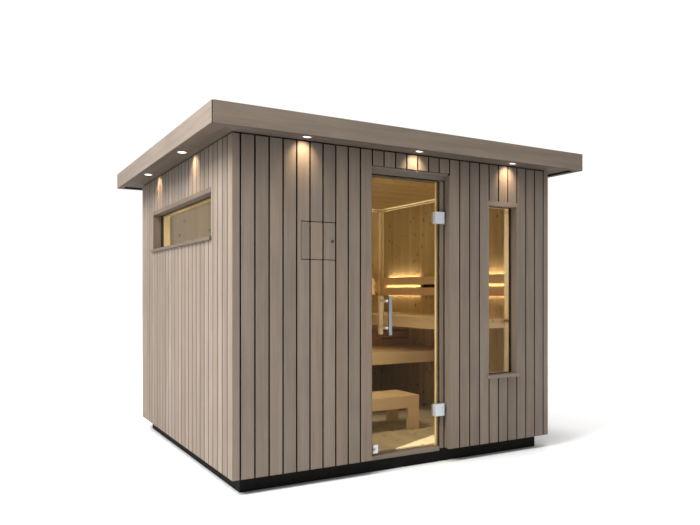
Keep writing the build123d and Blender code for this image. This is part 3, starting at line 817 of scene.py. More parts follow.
@dataclass
class Cladding:
    """The outside boards of the four walls and of the hatch."""

    front_pitch: float = 95 * MM
    side_pitch: float = 93 * MM
    corner: float = 52 * MM
    hatch_gap: int = 7
    hinge_gap: float = 3 * MM
    hatch_joint: float = 5 * MM
    hatch_width: float = 257.5 * MM
    hatch_bottom: float = 1459 * MM
    hatch_top: float = 1711 * MM
    hatch_inset: float = 8 * MM
    hatch_back: float = 12 * MM
    narrowest: float = 4 * MM
    door_trim: float = 13 * MM
    bottom: float = field(init=False)
    top: float = field(init=False)
    half_x: float = field(init=False)
    half_y: float = field(init=False)

    def __post_init__(self) -> None:
        """Read the walls' outline from the frame."""
        self.bottom, self.top = span("front_cladding", 2)
        self.half_x = span("front_cladding", 0)[1]
        self.half_y = span("left_cladding", 1)[1]

    def hatch(self) -> Hole:
        """Return the hatch's outline at the middle of its gaps."""
        right = -self.half_x + self.corner + self.hatch_gap * self.front_pitch
        return Hole(right - self.hatch_width, right, self.hatch_bottom, self.hatch_top)

    def window_hole(self, casing: str, axis: int) -> Hole:
        """Return the hole that a window's head, sill and sides need.

        Args:
            casing: The window's casing node.
            axis: The axis along the wall.

        Returns:
            The hole in the wall's own direction, for a wall whose window is as far left as right or
            whose direction is the axis's own.
        """
        low, high = span(casing, axis)
        bottom, top = span(casing, 2)
        inset = TRIM.board - WALL_GAP / 2
        below, above = TRIM.sill - TRIM.board, TRIM.header - TRIM.board
        return Hole(low + inset, high - inset, bottom - below, top + above)

    def front_strips(self) -> list[Point2]:
        """Return the edges of each front board, corner strips included."""
        half = WALL_GAP / 2
        first = -self.half_x + self.corner
        count = round((2 * self.half_x - 2 * self.corner) / self.front_pitch)
        strips = [(-self.half_x, first - half)]
        for i in range(count):
            left = first + i * self.front_pitch
            strips.append((left + half, left + self.front_pitch - half))
        strips.append((self.half_x - self.corner + half, self.half_x))
        return strips

    def side_strips(self, half_width: float) -> list[Point2]:
        """Return the edges of each board of a wall with no corner strips.

        Args:
            half_width: Half of the wall's width.

        Returns:
            Pairs of left and right edges.
        """
        half = WALL_GAP / 2
        boards = even_strips(-half_width, half_width, self.side_pitch)
        last = len(boards) - 1
        return [
            (low + (half if i > 0 else 0.0), high - (half if i < last else 0.0))
            for i, (low, high) in enumerate(boards)
        ]

    def build(self) -> None:
        """Board the four walls and the hatch."""
        hatch = self.hatch()
        half = WALL_GAP / 2
        door_left, door_right = span("door_frame", 0)
        lintel = span("door_frame", 2)[1]
        holes = [
            Hole(door_left - half, door_right + half, self.bottom, lintel + self.door_trim),
            Hole(
                hatch.low + half - self.hinge_gap, hatch.high + half,
                hatch.bottom + half - self.hatch_joint, hatch.top - half + self.hatch_joint,
            ),
            self.window_hole("front_window_casing", 0),
        ]
        window = self.window_hole("left_window_casing", 1)
        self._wall("front", self.half_y, self.front_strips(), holes, 11)
        self._wall("rear", self.half_y, self.side_strips(self.half_x), [], 12)
        self._wall("right", self.half_x, self.side_strips(self.half_y), [], 13)
        self._wall("left", self.half_x, self.side_strips(self.half_y), [window], 14)
        self._hatch_boards(hatch)

    def _wall(self, side: str, reach: float, strips: list[Point2], holes: list[Hole], seed: int) -> None:
        """Board one wall.

        Args:
            side: The wall's name.
            reach: How far its face is from the middle.
            strips: The boards' edges.
            holes: The wall's holes.
            seed: The seed of its boards.
        """
        datum = wall_datum(side, reach)
        plan = Datum(datum.origin, datum.a, datum.c, datum.b)
        boards = Joinery(seed, datum)
        for low, high in (strips[0], strips[-1]):
            start = low + (WALL_BOARD if low == strips[0][0] else 0.0)
            end = high - (WALL_BOARD if high == strips[-1][1] else 0.0)
            outline = [(low, 0.0), (high, 0.0), (end, -WALL_BOARD), (start, -WALL_BOARD)]
            boards.board(plan, outline, self.bottom, self.top, Along.C, EASED)
        for low, high in strips[1:-1]:
            for outline in board_outlines(low, high, self.bottom, self.top, holes):
                boards.board(datum, outline, -WALL_BOARD, 0.0, Along.B, EASED)
        boards.piece(f"{side}_boards", Stock.thermo, "cabin", "thermo_wood", [f"{side}_cladding"])

    def _hatch_boards(self, hatch: Hole) -> None:
        """Board the hatch so that its boards run on from the wall's.

        Args:
            hatch: The hatch's outline at the middle of its gaps.
        """
        half, inset = WALL_GAP / 2, self.hatch_inset
        datum = wall_datum("front", self.half_y)
        boards = Joinery(15, datum)
        low, high = hatch.low + half, hatch.high - half
        bottom, top = hatch.bottom + half, hatch.top - half
        for left, right in self.front_strips():
            start, end = max(left, low), min(right, high)
            if end - start > self.narrowest:
                boards.board(datum, rectangle(start, bottom, end, top), -WALL_BOARD, 0.0, Along.B, EASED)
        boards.piece("hatch_boards", Stock.thermo, "hatch", "thermo_wood", ["hatch_door"])
        back = Joinery(16)
        outline = rectangle(low + inset, bottom + inset, high - inset, top - inset)
        back.board(datum, outline, -WALL_BOARD - self.hatch_back, -WALL_BOARD, Along.A)
        back.piece("hatch_back", Stock.smoked, "hatch", "thermo_wood")


@dataclass
class Lining:
    """The spruce boards inside: four walls, ceiling, floor and mouldings."""

    pitch: float = 47.5 * MM
    floor_pitch: float = 95 * MM
    ceiling_board: float = 15 * MM
    cornice_depth: float = 22 * MM
    cornice_step: float = 15 * MM
    cornice_back: float = 6 * MM
    corner_strip: float = 30 * MM
    corner_side: float = 42 * MM
    corner_t: float = 8 * MM
    corner_seam: float = 9 * MM

    def build(self) -> None:
        """Board the inside of the room."""
        room_x = span("ceiling", 0)[1]
        room_y = span("ceiling", 1)[1]
        floor_top = span("floor", 2)[1]
        door_left, door_right = span("door_frame", 0)
        lintel = span("door_frame", 2)[1]
        doorway = Hole(-door_right, -door_left, floor_top, lintel)
        front_holes = [doorway, self._hole("front_window_casing", 0, -1)]
        left_holes = [self._hole("left_window_casing", 1, 1)]
        self._wall("front", room_y, room_x, front_holes, 21)
        self._wall("rear", room_y, room_x, [], 22)
        self._wall("right", room_x, room_y, [], 23)
        self._wall("left", room_x, room_y, left_holes, 24)
        self._ceiling(room_x, room_y)
        self._floor()
        self._mouldings(room_x, room_y)

    def _hole(self, casing: str, axis: int, sign: int) -> Hole:
        """Return the hole that a window's casing fills, as seen from inside.

        Args:
            casing: The casing's node.
            axis: The axis along the wall.
            sign: -1 where the wall runs against the axis seen from inside, else 1.

        Returns:
            The hole.
        """
        low, high = span(casing, axis)
        bottom, top = span(casing, 2)
        return Hole(*sorted((sign * low, sign * high)), bottom, top)

    def _wall(self, side: str, reach: float, half_width: float, holes: list[Hole], seed: int) -> None:
        """Board one wall inside.

        Args:
            side: The wall's name.
            reach: How far its inner face is from the middle.
            half_width: Half of the room along it.
            holes: The wall's holes, seen from inside.
            seed: The seed of its boards.
        """
        node = f"{side}_lining"
        start, end = span(node, 0 if side in ("left", "right") else 1)
        bottom, top = span(node, 2)
        outward = wall_datum(side, reach)
        datum = Datum(outward.origin, -outward.a, outward.b, -outward.c)
        boards = Joinery(seed)
        for low, high in even_strips(-half_width, half_width, self.pitch):
            for outline in board_outlines(low, high, bottom, top, holes):
                boards.board(datum, outline, start - end, 0.0, Along.B, SOFT, 1)
        boards.piece(f"{side}_lining_boards", Stock.spruce, "cabin", "spruce", [node])

    def _ceiling(self, room_x: float, room_y: float) -> None:
        """Board the ceiling along the room.

        Args:
            room_x: Half of the room's width.
            room_y: Half of its depth.
        """
        height = span("ceiling", 2)[0]
        boards = Joinery(25)
        for low, high in even_strips(-room_y, room_y, self.pitch):
            outline = rectangle(-room_x, low, room_x, high)
            boards.board(PLAN, outline, height, height + self.ceiling_board, Along.A, SOFT, 1)
        boards.piece("ceiling_boards", Stock.spruce, "cabin", "spruce", ["ceiling"])

    def _floor(self) -> None:
        """Board the floor from front to rear."""
        low_x, high_x = span("floor", 0)
        low_y, high_y = span("floor", 1)
        bottom, top = span("floor", 2)
        boards = Joinery(26)
        for low, high in even_strips(low_x, high_x, self.floor_pitch):
            boards.board(PLAN, rectangle(low, low_y, high, high_y), bottom, top, Along.B, SOFT, 1)
        boards.piece("floor_boards", Stock.deck, "cabin", "spruce", ["floor"])

    def _mouldings(self, room_x: float, room_y: float) -> None:
        """Set the ceiling moulding and the corner strips.

        Args:
            room_x: Half of the room's width.
            room_y: Half of its depth.
        """
        low, high = span("cornice", 2)
        size = high - low
        beads, backs = Joinery(27), Joinery(29)
        for side, reach, half in (
            ("front", room_y, room_x), ("rear", room_y, room_x), ("left", room_x, room_y),
            ("right", room_x, room_y),
        ):
            outward = wall_datum(side, reach)
            datum = Datum(outward.at(-half, 0, 0), -outward.c, outward.b, outward.a)
            backs.board(datum, rectangle(0, low, self.cornice_back, high), 0.0, 2 * half, Along.C, 0.0)
            for depth, start, end in ((self.cornice_step, 0.0, 0.30), (self.cornice_depth, 0.55, 1.0)):
                outline = rectangle(0, low + start * size, depth, low + end * size)
                beads.board(datum, outline, 0.0, 2 * half, Along.C, WORN)
        beads.piece("cornice_strips", Stock.bead, "cabin", "spruce", ["cornice"])
        # The backs in the groove between the beads carry painted shade.
        backs.piece("cornice_back", Stock.painted_shade, "cabin", "spruce")
        seat = span("upper_bench", 2)[1]
        strips = Joinery(28)
        thick, seam = self.corner_t, self.corner_seam
        for x in (-1, 1):
            corner = Vector((x * room_x, room_y, 0))
            datum = Datum(corner, Vector((-x, 0, 0)), Vector((0, -1, 0)), Vector((0, 0, 1)))
            for outline in (
                rectangle(seam, 0, seam + self.corner_strip, thick),
                rectangle(0, seam, thick, seam + self.corner_side),
            ):
                strips.board(datum, outline, seat, low, Along.C, ROUNDED)
        strips.piece("corner_strips", Stock.bead, "cabin", "spruce")


@dataclass
class Roof:
    """The fascia boards, the soffit boards, the dark frame and the eave lights."""

    soffit_rows: int = 2
    soffit_gap: float = 3 * MM
    soffit_mitre: float = 1.5 * MM
    backing: float = 22 * MM
    lip_inset: float = 1 * MM
    mitre: float = 9 * MM
    rim: Outline = (
        (0.026, 0.003), (0.026, 0.0006), (0.027, 0.0), (0.033, 0.0006), (0.034, 0.003), (0.028, 0.0035)
    )
    lens: Outline = ((0.012, 0.0012), (0.022, 0.0016), (0.0255, 0.0026), (0.0255, 0.006))

    def build(self) -> None:
        """Build the roof's boards and its lights."""
        self._fascia()
        self._soffit()
        dress("eaves_frame", Stock.black)
        dress("roof_deck", Stock.membrane)
        self._lights()

    def _ring(
        self, boards: Joinery, half_x: float, half_y: float, width: float, low: float, high: float,
        joint: float, edge: float = ROUNDED,
    ) -> None:
        """Add four boards with mitred corners that lie round a rectangle.

        Args:
            boards: The mesh that they go into.
            half_x: Half of the ring's outer size along X.
            half_y: Half of it along Y.
            width: The boards' width in plan.
            low: Their underside.
            high: Their top.
            joint: The open joint at the corners.
            edge: The radius of the boards' edges.
        """
        slack = joint / 2
        for side in (-1, 1):
            boards.board(PLAN, [
                (-half_x + slack, side * half_y), (half_x - slack, side * half_y),
                (half_x - width - slack, side * (half_y - width)),
                (-half_x + width + slack, side * (half_y - width)),
            ][::side], low, high, Along.A, edge)
            boards.board(PLAN, [
                (side * half_x, half_y - slack), (side * half_x, -half_y + slack),
                (side * (half_x - width), -half_y + width + slack),
                (side * (half_x - width), half_y - width - slack),
            ][::side], low, high, Along.B, edge)

    def _fascia(self) -> None:
        """Set the fascia boards."""
        half_x, half_y = span("fascia", 0)[1], span("fascia", 1)[1]
        low, high = span("fascia", 2)
        boards = Joinery(31)
        width = half_x - span("eaves_frame", 0)[1]
        lip_top = span("eaves_frame", 2)[0]
        self._ring(boards, half_x, half_y, width, lip_top, high, self.mitre)
        boards.piece("fascia_boards", Stock.fascia, "cabin", "thermo_wood", ["fascia"])
        # The lip under the fascia carries painted shade.
        lip, inset = Joinery(33), self.lip_inset
        reach = width + self.backing - inset
        self._ring(lip, half_x - inset, half_y - inset, reach, low, lip_top, 0.0, 0.0)
        lip.piece("eaves_lip", Stock.eaves, "cabin", "thermo_wood")

    def _soffit(self) -> None:
        """Set the soffit boards round the walls."""
        half_x, half_y = span("soffit", 0)[1], span("soffit", 1)[1]
        low, high = span("soffit", 2)
        width = (half_x - span("front_wall_right", 0)[1]) / self.soffit_rows
        boards = Joinery(32)
        for i in range(self.soffit_rows):
            self._ring(
                boards, half_x - i * width, half_y - i * width, width - self.soffit_gap, low, high,
                self.soffit_mitre,
            )
        # The soffit boards carry painted shade.
        boards.piece("soffit_boards", Stock.eaves, "cabin", "thermo_wood", ["soffit"])

    def _lights(self) -> None:
        """Turn the rims and the lenses of the eave lights."""
        low, high = span("eave_lights", 2)
        rim = (*self.rim, (self.rim[-1][0], high - low))
        feet = [Vector((centre.x, centre.y, low)) for centre in light_places()]
        up = Vector((0, 0, 1))
        rims = [turned("rim", rim, foot, up) for foot in feet]
        lenses = [turned("lens", self.lens, foot, up) for foot in feet]
        place_piece(
            "eave_light_rims", joined("rims", rims), Stock.enamel, "cabin", ["eave_lights"]
        )
        place_piece("eave_light_lenses", joined("lenses", lenses), Stock.lens, "cabin")


def light_places() -> list[Vector]:
    """Return the middles of the eave lights, found as the separate parts of their node."""
    graph = bmesh.new()
    graph.from_mesh(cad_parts["eave_lights"].data)
    bmesh.ops.remove_doubles(graph, verts=graph.verts, dist=0.01 * MM)
    seen: set[int] = set()
    places = []
    for start in graph.verts:
        if start.index in seen:
            continue
        group, queue = [], [start]
        seen.add(start.index)
        while queue:
            vert = queue.pop()
            group.append(vert.co.copy())
            others = [link.other_vert(vert) for link in vert.link_edges]
            queue += [other for other in others if other.index not in seen]
            seen.update(other.index for other in others)
        ends = [(min(p[i] for p in group), max(p[i] for p in group)) for i in range(3)]
        places.append(Vector((low + high) / 2 for low, high in ends))
    graph.free()
    return places


def joined(name: str, meshes: Sequence[bpy.types.Mesh]) -> bpy.types.Mesh:
    """Join several meshes into one.

    Args:
        name: The new mesh's name.
        meshes: The meshes, which are used up.

    Returns:
        The joined mesh.
    """
    whole = bmesh.new()
    for mesh in meshes:
        whole.from_mesh(mesh)
        bpy.data.meshes.remove(mesh)
    made = bpy.data.meshes.new(name)
    whole.to_mesh(made)
    whole.free()
    return made


@dataclass
class Door:
    """The door: frame, casing, threshold, leaf, hinges, handle and catch."""

    stop: float = 12 * MM
    rebate: float = 15 * MM
    head: float = 29 * MM
    threshold_play: float = 1.5 * MM
    shadow_w: float = 12 * MM
    shadow_d: float = 14 * MM
    casing_lip: float = 22 * MM
    casing_step: float = 27 * MM
    lining: float = 3 * MM
    left_lining: float = 1.2 * MM
    lining_setback: float = 1 * MM
    lining_edge: float = 0.8 * MM
    trim: float = 13 * MM
    trim_setback: float = 17 * MM
    seal_w: float = 8 * MM
    seal_t: float = 3 * MM
    head_seal: Point2 = (1 * MM, 12 * MM)
    catch_side: float = 8 * MM
    catch_depth: float = 9 * MM
    roller: Outline = ((0.0086, 0.0), (0.0086, 0.0035), (0.0076, 0.0042))
    pin: Outline = ((0.0032, 0.0), (0.0032, 0.0068), (0.0025, 0.0075))
    screw: Outline = ((0.0055, 0.0), (0.0055, 0.0006), (0.004, 0.001), (0.002, 0.0002))
    screw_sink: float = 0.6 * MM
    sleeve_r: float = 9.5 * MM
    sleeve_edge: float = 1 * MM
    sleeve_bevel: float = 0.8 * MM
    post_levels: Point2 = (47 * MM, 236 * MM)
    handle_bar: float = 20 * MM
    left: float = field(init=False)
    right: float = field(init=False)
    front: float = field(init=False)
    back: float = field(init=False)
    bottom: float = field(init=False)
    top: float = field(init=False)
    stop_left: float = field(init=False)
    stop_right: float = field(init=False)
    stop_top: float = field(init=False)
    wall: float = field(init=False)

    def __post_init__(self) -> None:
        """Read the opening and the frame's edges from the frame."""
        self.left, self.right = span("door_frame", 0)
        self.front, self.back = span("door_frame", 1)
        self.bottom, self.top = span("door_frame", 2)
        self.stop_left = span("door_threshold", 0)[0] - self.threshold_play
        self.stop_right = span("door_threshold", 0)[1] + self.threshold_play
        self.stop_top = self.top - self.head - self.stop
        self.wall = span("front_cladding", 1)[0]

    def build(self) -> None:
        """Build and dress the door's pieces."""
        self._frame()
        self._reveal()
        self._seal()
        self._casing()
        self._threshold()
        dress("door_glass", Stock.glass)
        dress("door_hinge_leaves", Stock.satin, 1.5 * MM)
        dress("door_hinge_brackets", Stock.satin, 0.8 * MM)
        dress("door_handle", Stock.steel, 1.0 * MM)
        dress("door_catch", Stock.enamel, 0.8 * MM)
        self._catch()
        self._grip()

    def _frame(self) -> None:
        """Set the jambs and the head with the rebate for the leaf."""
        front, back, rebate = self.front, self.back, self.front + self.rebate
        shadow = front + self.shadow_d
        jambs = Joinery(41)
        for outer, inner, step in (
            (self.left, self.stop_left, -self.stop), (self.right, self.stop_right, self.stop)
        ):
            lip = outer - math.copysign(self.shadow_w, outer)
            jambs.board(PLAN, [
                (outer, shadow), (lip, shadow), (lip, front), (inner + step, front), (inner + step, rebate),
                (inner, rebate), (inner, back), (outer, back),
            ], self.bottom, self.stop_top, Along.C)
        jambs.piece("door_frame_boards", Stock.thermo, "cabin", "thermo_wood", ["door_frame"])
        top, leaf_top, stop_top = self.top, self.top - self.head, self.stop_top
        # The head board carries painted shade.
        head = Joinery(47)
        head.board(section(self.left), [
            (front, top), (front, leaf_top), (rebate, leaf_top), (rebate, stop_top), (back, stop_top),
            (back, top),
        ], 0.0, self.right - self.left, Along.C)
        head.piece("door_head_board", Stock.head, "cabin", "thermo_wood")

    def _casing(self) -> None:
        """Set the light casing behind the frame."""
        casing = Joinery(42)
        floor_top = span("floor", 2)[1]
        wall_line = span("floor", 1)[0]
        inner = span("door_reveal", 1)[1]
        for low, high in ((self.left, self.stop_left), (self.stop_right, self.right)):
            outline = rectangle(low, self.back, high, wall_line)
            casing.board(PLAN, outline, self.bottom, floor_top, Along.C, 0.0)
        outline = rectangle(self.left, self.back, self.stop_left, inner)
        casing.board(PLAN, outline, floor_top, self.stop_top, Along.C)
        lip, step = self.back + self.casing_lip, self.stop_right + self.casing_step
        casing.board(PLAN, [
            (self.stop_right, self.back), (self.right, self.back), (self.right, inner), (step, inner),
            (step, lip), (self.stop_right, lip),
        ], floor_top, self.stop_top, Along.C)
        casing.piece("door_casing_boards", Stock.pale, "cabin", "spruce", ["door_reveal"])
        # The casing's head carries painted shade.
        head = Joinery(49)
        outline = rectangle(self.left, self.back, self.right, inner)
        head.board(PLAN, outline, self.stop_top, self.top, Along.A)
        head.piece("door_casing_head", Stock.head, "cabin", "spruce")

    def _reveal(self) -> None:
        """Line the sides and the head of the opening in front of the frame."""
        front, behind, half = self.wall + self.lining_setback, self.wall + WALL_BOARD, WALL_GAP / 2
        boards = Joinery(45)
        for low, high in (
            (self.left - half, self.left - half + self.left_lining),
            (self.right - self.lining, self.right + half),
        ):
            outline = rectangle(low, front, high, behind)
            boards.board(PLAN, outline, self.bottom, self.top, Along.C, self.lining_edge)
        for low, high in ((self.left, self.left + self.lining), (self.right - self.lining, self.right)):
            outline = rectangle(low, behind, high, self.front)
            boards.board(PLAN, outline, self.bottom, self.top, Along.C, 0.0)
        boards.piece("door_opening_lining", Stock.thermo, "cabin", "thermo_wood")
        nose, under, over = self.wall + self.trim_setback, self.top - self.lining, self.top + self.trim
        # The trim over the opening carries painted shade.
        trim = Joinery(48)
        trim.board(section(self.left), [
            (nose, under), (self.front, under), (self.front, self.top), (behind, self.top), (behind, over),
            (nose, over),
        ], self.lining, self.right - self.left - self.lining, Along.C, self.lining_edge)
        trim.piece("door_opening_trim", Stock.head, "cabin", "thermo_wood")

    def _seal(self) -> None:
        """Run a black seal round the stop, behind the glass."""
        back = self.front + self.rebate
        front = back - self.seal_t
        low_head, high_head = (self.stop_top + reach for reach in self.head_seal)
        seal = Joinery(46)
        for low, high in (
            (self.stop_left - self.seal_w, self.stop_left), (self.stop_right, self.stop_right + self.seal_w)
        ):
            outline = rectangle(low, front, high, back)
            seal.board(PLAN, outline, self.bottom, self.stop_top + self.seal_w, Along.C, 0.0)
        outline = rectangle(self.stop_left, front, self.stop_right, back)
        seal.board(PLAN, outline, low_head, high_head, Along.A, 0.0)
        seal.piece("door_seal", Stock.rubber, "cabin", "black_timber")

    def _threshold(self) -> None:
        """Set the threshold board with its nosing."""
        low_x, high_x = span("door_threshold", 0)
        front, back = span("door_threshold", 1)
        bottom, top = span("door_threshold", 2)
        plinth_front, plinth_top = span("plinth", 1)[0], span("plinth", 2)[1]
        board = Joinery(43)
        board.board(section(low_x), [
            (front, bottom), (plinth_front, bottom), (plinth_front, plinth_top), (back, plinth_top),
            (back, top), (front, top),
        ], 0.0, high_x - low_x, Along.C, ROUNDED)
        outline = rectangle(self.left + self.lining, front, low_x, self.front)
        board.board(PLAN, outline, bottom, top, Along.A, CRISP)
        board.piece("threshold_board", Stock.thermo, "cabin", "thermo_wood", ["door_threshold"])

    def _catch(self) -> None:
        """Set the roller and its pin in the catch's round hole; the roller is near-black as painted shade in
        the hole.
        """
        low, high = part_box("door_catch")
        centre = Vector((low.x + self.catch_side, low.y + self.catch_depth, (low.z + high.z) / 2))
        out = Vector((0, -1, 0))
        roller = turned("roller", self.roller, centre, out, 32)
        place_piece("catch_roller_painted_shade", roller, Stock.iron, "door")
        pin = turned("pin", self.pin, centre, out, 20)
        place_piece("catch_pin", pin, Stock.enamel, "door")

    def _grip(self) -> None:
        """Shape the wooden grip, its two screw heads and the sleeves on the handle's posts."""
        low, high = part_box("door_grip")
        grip = Joinery(44)
        grip.board(PLAN, rectangle(low.x, low.y, high.x, high.y), low.z, high.z, Along.C, 4 * MM, 3)
        grip.piece("grip_bar", Stock.aspen, "door", "bench_wood", ["door_grip"])
        handle_low, handle_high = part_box("door_handle")
        glass_front, glass_back = span("door_glass", 1)
        levels = [handle_low.z + rise for rise in self.post_levels]
        inward = Vector((0, 1, 0))
        grip_x, handle_x = (low.x + high.x) / 2, (handle_low.x + handle_high.x) / 2
        heads = [
            turned("head", self.screw, Vector((grip_x, high.y - self.screw_sink, level)), inward, 20)
            for level in levels
        ]
        place_piece("grip_screws", joined("heads", heads), Stock.steel, "door")
        thin, wide, bevel = self.sleeve_r - self.sleeve_edge, self.sleeve_r, self.sleeve_bevel
        sleeves = []
        for level in levels:
            for start, end in ((handle_low.y + self.handle_bar, glass_front), (glass_back, low.y)):
                length = end - start
                profile = [(thin, 0.0), (wide, bevel), (wide, length - bevel), (thin, length)]
                sleeves.append(turned("sleeve", profile, Vector((handle_x, start, level)), inward, 24))
        place_piece("handle_sleeves", joined("sleeves", sleeves), Stock.sleeve, "door")


@dataclass(frozen=True)
class WindowPlan:
    """One window's opening in its wall's frame, and the depths of its layers."""

    name: str
    datum: Datum
    hole: Hole
    ears: Point2
    nose: float
    glass_front: float
    glass_back: float
    inner: float
    seed: int


@dataclass
class Windows:
    """The two fixed windows."""

    liner_setback: float = 1 * MM
    pane: float = 4 * MM
    spacer: float = 3 * MM
    spacer_reach: float = 8 * MM

    def build(self) -> None:
        """Build both windows."""
        front = wall_datum("front", -span("front_cladding", 1)[0])
        left = wall_datum("left", -span("left_cladding", 0)[0])
        for name, datum, axis, sign, seed in (
            ("front_window", front, 0, 1, 51), ("left_window", left, 1, -1, 55)
        ):
            plan = self._plan(name, datum, axis, sign, seed)
            self._outer(plan)
            self._inner(plan)
            self._unit(plan)

    def _plan(self, name: str, datum: Datum, axis: int, sign: int, seed: int) -> WindowPlan:
        """Read one window from the frame.

        Args:
            name: The window's name.
            datum: The wall's outer face.
            axis: The axis along the wall.
            sign: -1 where the wall's direction is against the axis.
            seed: The seed of its boards.

        Returns:
            The window's plan.
        """
        low, high = sorted(sign * value for value in span(f"{name}_casing", axis))
        bottom, top = span(f"{name}_casing", 2)
        board, face = TRIM.board, datum.origin.dot(datum.c)
        glass, casing, surround = (
            sorted(abs(value) - face for value in span(f"{name}_{part}", 1 - axis))
            for part in ("glass", "casing", "surround")
        )
        hole = Hole(low + board, high - board, bottom + board, top - board)
        ears = tuple(sorted(sign * value for value in span(f"{name}_surround", axis)))
        return WindowPlan(name, datum, hole, ears, surround[1], glass[1], glass[0], casing[0], seed)

    def _sides(
        self, boards: Joinery, datum: Datum, hole: Hole, width: float, low: float, high: float, edge: float
    ) -> None:
        """Add two upright boards beside a hole.

        Args:
            boards: The mesh that they go into.
            datum: The wall's outer face.
            hole: The hole.
            width: The boards' width in the wall's face.
            low: Their inner face.
            high: Their outer face.
            edge: The radius of their edges.
        """
        for a, b in ((hole.low - width, hole.low), (hole.high, hole.high + width)):
            boards.board(datum, rectangle(a, hole.bottom, b, hole.top), low, high, Along.B, edge)

    def _outer(self, plan: WindowPlan) -> None:
        """Set the outer reveal boards, the header and the sill with its nose.

        Args:
            plan: The window.
        """
        hole, board, play = plan.hole, TRIM.board, WALL_GAP / 2
        outer = Joinery(plan.seed)
        self._sides(outer, plan.datum, hole, board, plan.glass_front, -WALL_BOARD, CRISP)
        self._sides(outer, plan.datum, hole, play, -WALL_BOARD, -self.liner_setback, 0.0)
        for reach, bottom, top, low, high, edge in (
            (board, hole.top, hole.top + board, plan.glass_front, -WALL_BOARD, CRISP),
            (board, hole.bottom - board, hole.bottom, plan.glass_front, -WALL_BOARD, 0.0),
            (play, hole.top, hole.top + TRIM.header, -WALL_BOARD, 0.0, EASED),
            (play, hole.bottom - TRIM.sill, hole.bottom, -WALL_BOARD, 0.0, 0.0),
        ):
            outline = rectangle(hole.low - reach, bottom, hole.high + reach, top)
            outer.board(plan.datum, outline, low, high, Along.A, edge)
        outline = rectangle(plan.ears[0], hole.bottom - TRIM.sill, plan.ears[1], hole.bottom)
        outer.board(plan.datum, outline, 0.0, plan.nose, Along.A, ROUNDED)
        # The left window's outer boards carry painted shade.
        finish = Stock.thermo if plan.name == "front_window" else Stock.surround
        outer.piece(f"{plan.name}_outer_boards", finish, "cabin", "thermo_wood", [f"{plan.name}_surround"])

    def _inner(self, plan: WindowPlan) -> None:
        """Set the light casing boards behind the glass.

        Args:
            plan: The window.
        """
        hole, board = plan.hole, TRIM.board
        inner = Joinery(plan.seed + 1)
        self._sides(inner, plan.datum, hole, board, plan.inner, plan.glass_back, CRISP)
        for bottom, top in ((hole.bottom - board, hole.bottom), (hole.top, hole.top + board)):
            outline = rectangle(hole.low - board, bottom, hole.high + board, top)
            inner.board(plan.datum, outline, plan.inner, plan.glass_back, Along.A, CRISP)
        inner.piece(f"{plan.name}_inner_boards", Stock.pale, "cabin", "spruce", [f"{plan.name}_casing"])

    def _unit(self, plan: WindowPlan) -> None:
        """Set the two panes and the dark spacer between them.

        Args:
            plan: The window.
        """
        hole, inset, reach = plan.hole, self.spacer, self.spacer_reach
        left, right = hole.low + inset, hole.high - inset
        bottom, top = hole.bottom + inset, hole.top - inset
        panes = Joinery(plan.seed + 2)
        for start in (plan.glass_front - self.pane, plan.glass_back):
            outline = rectangle(left, bottom, right, top)
            panes.board(plan.datum, outline, start, start + self.pane, Along.A, 0.0)
        glazing = Stock.pane if plan.name == "front_window" else Stock.side_pane
        panes.piece(f"{plan.name}_panes", glazing, "cabin", "clear_glass", [f"{plan.name}_glass"])
        spacer = Joinery(plan.seed + 3)
        clear = Hole(left, right, hole.bottom - reach, hole.top + reach)
        self._sides(spacer, plan.datum, clear, inset + reach, plan.glass_back, plan.glass_front, 0.0)
        for low, high in ((hole.bottom - reach, bottom), (top, hole.top + reach)):
            outline = rectangle(left, low, right, high)
            spacer.board(plan.datum, outline, plan.glass_back, plan.glass_front, Along.A, 0.0)
        spacer.piece(f"{plan.name}_spacer", Stock.rubber, "cabin", "black_timber")


@dataclass(frozen=True)
class Area:
    """A rectangle in plan."""

    low_x: float
    low_y: float
    high_x: float
    high_y: float


@dataclass(frozen=True)
class Section:
    """The section of the boards of a row, and how their edges are softened."""

    width: float
    thickness: float
    edge: float
    segments: int = 2


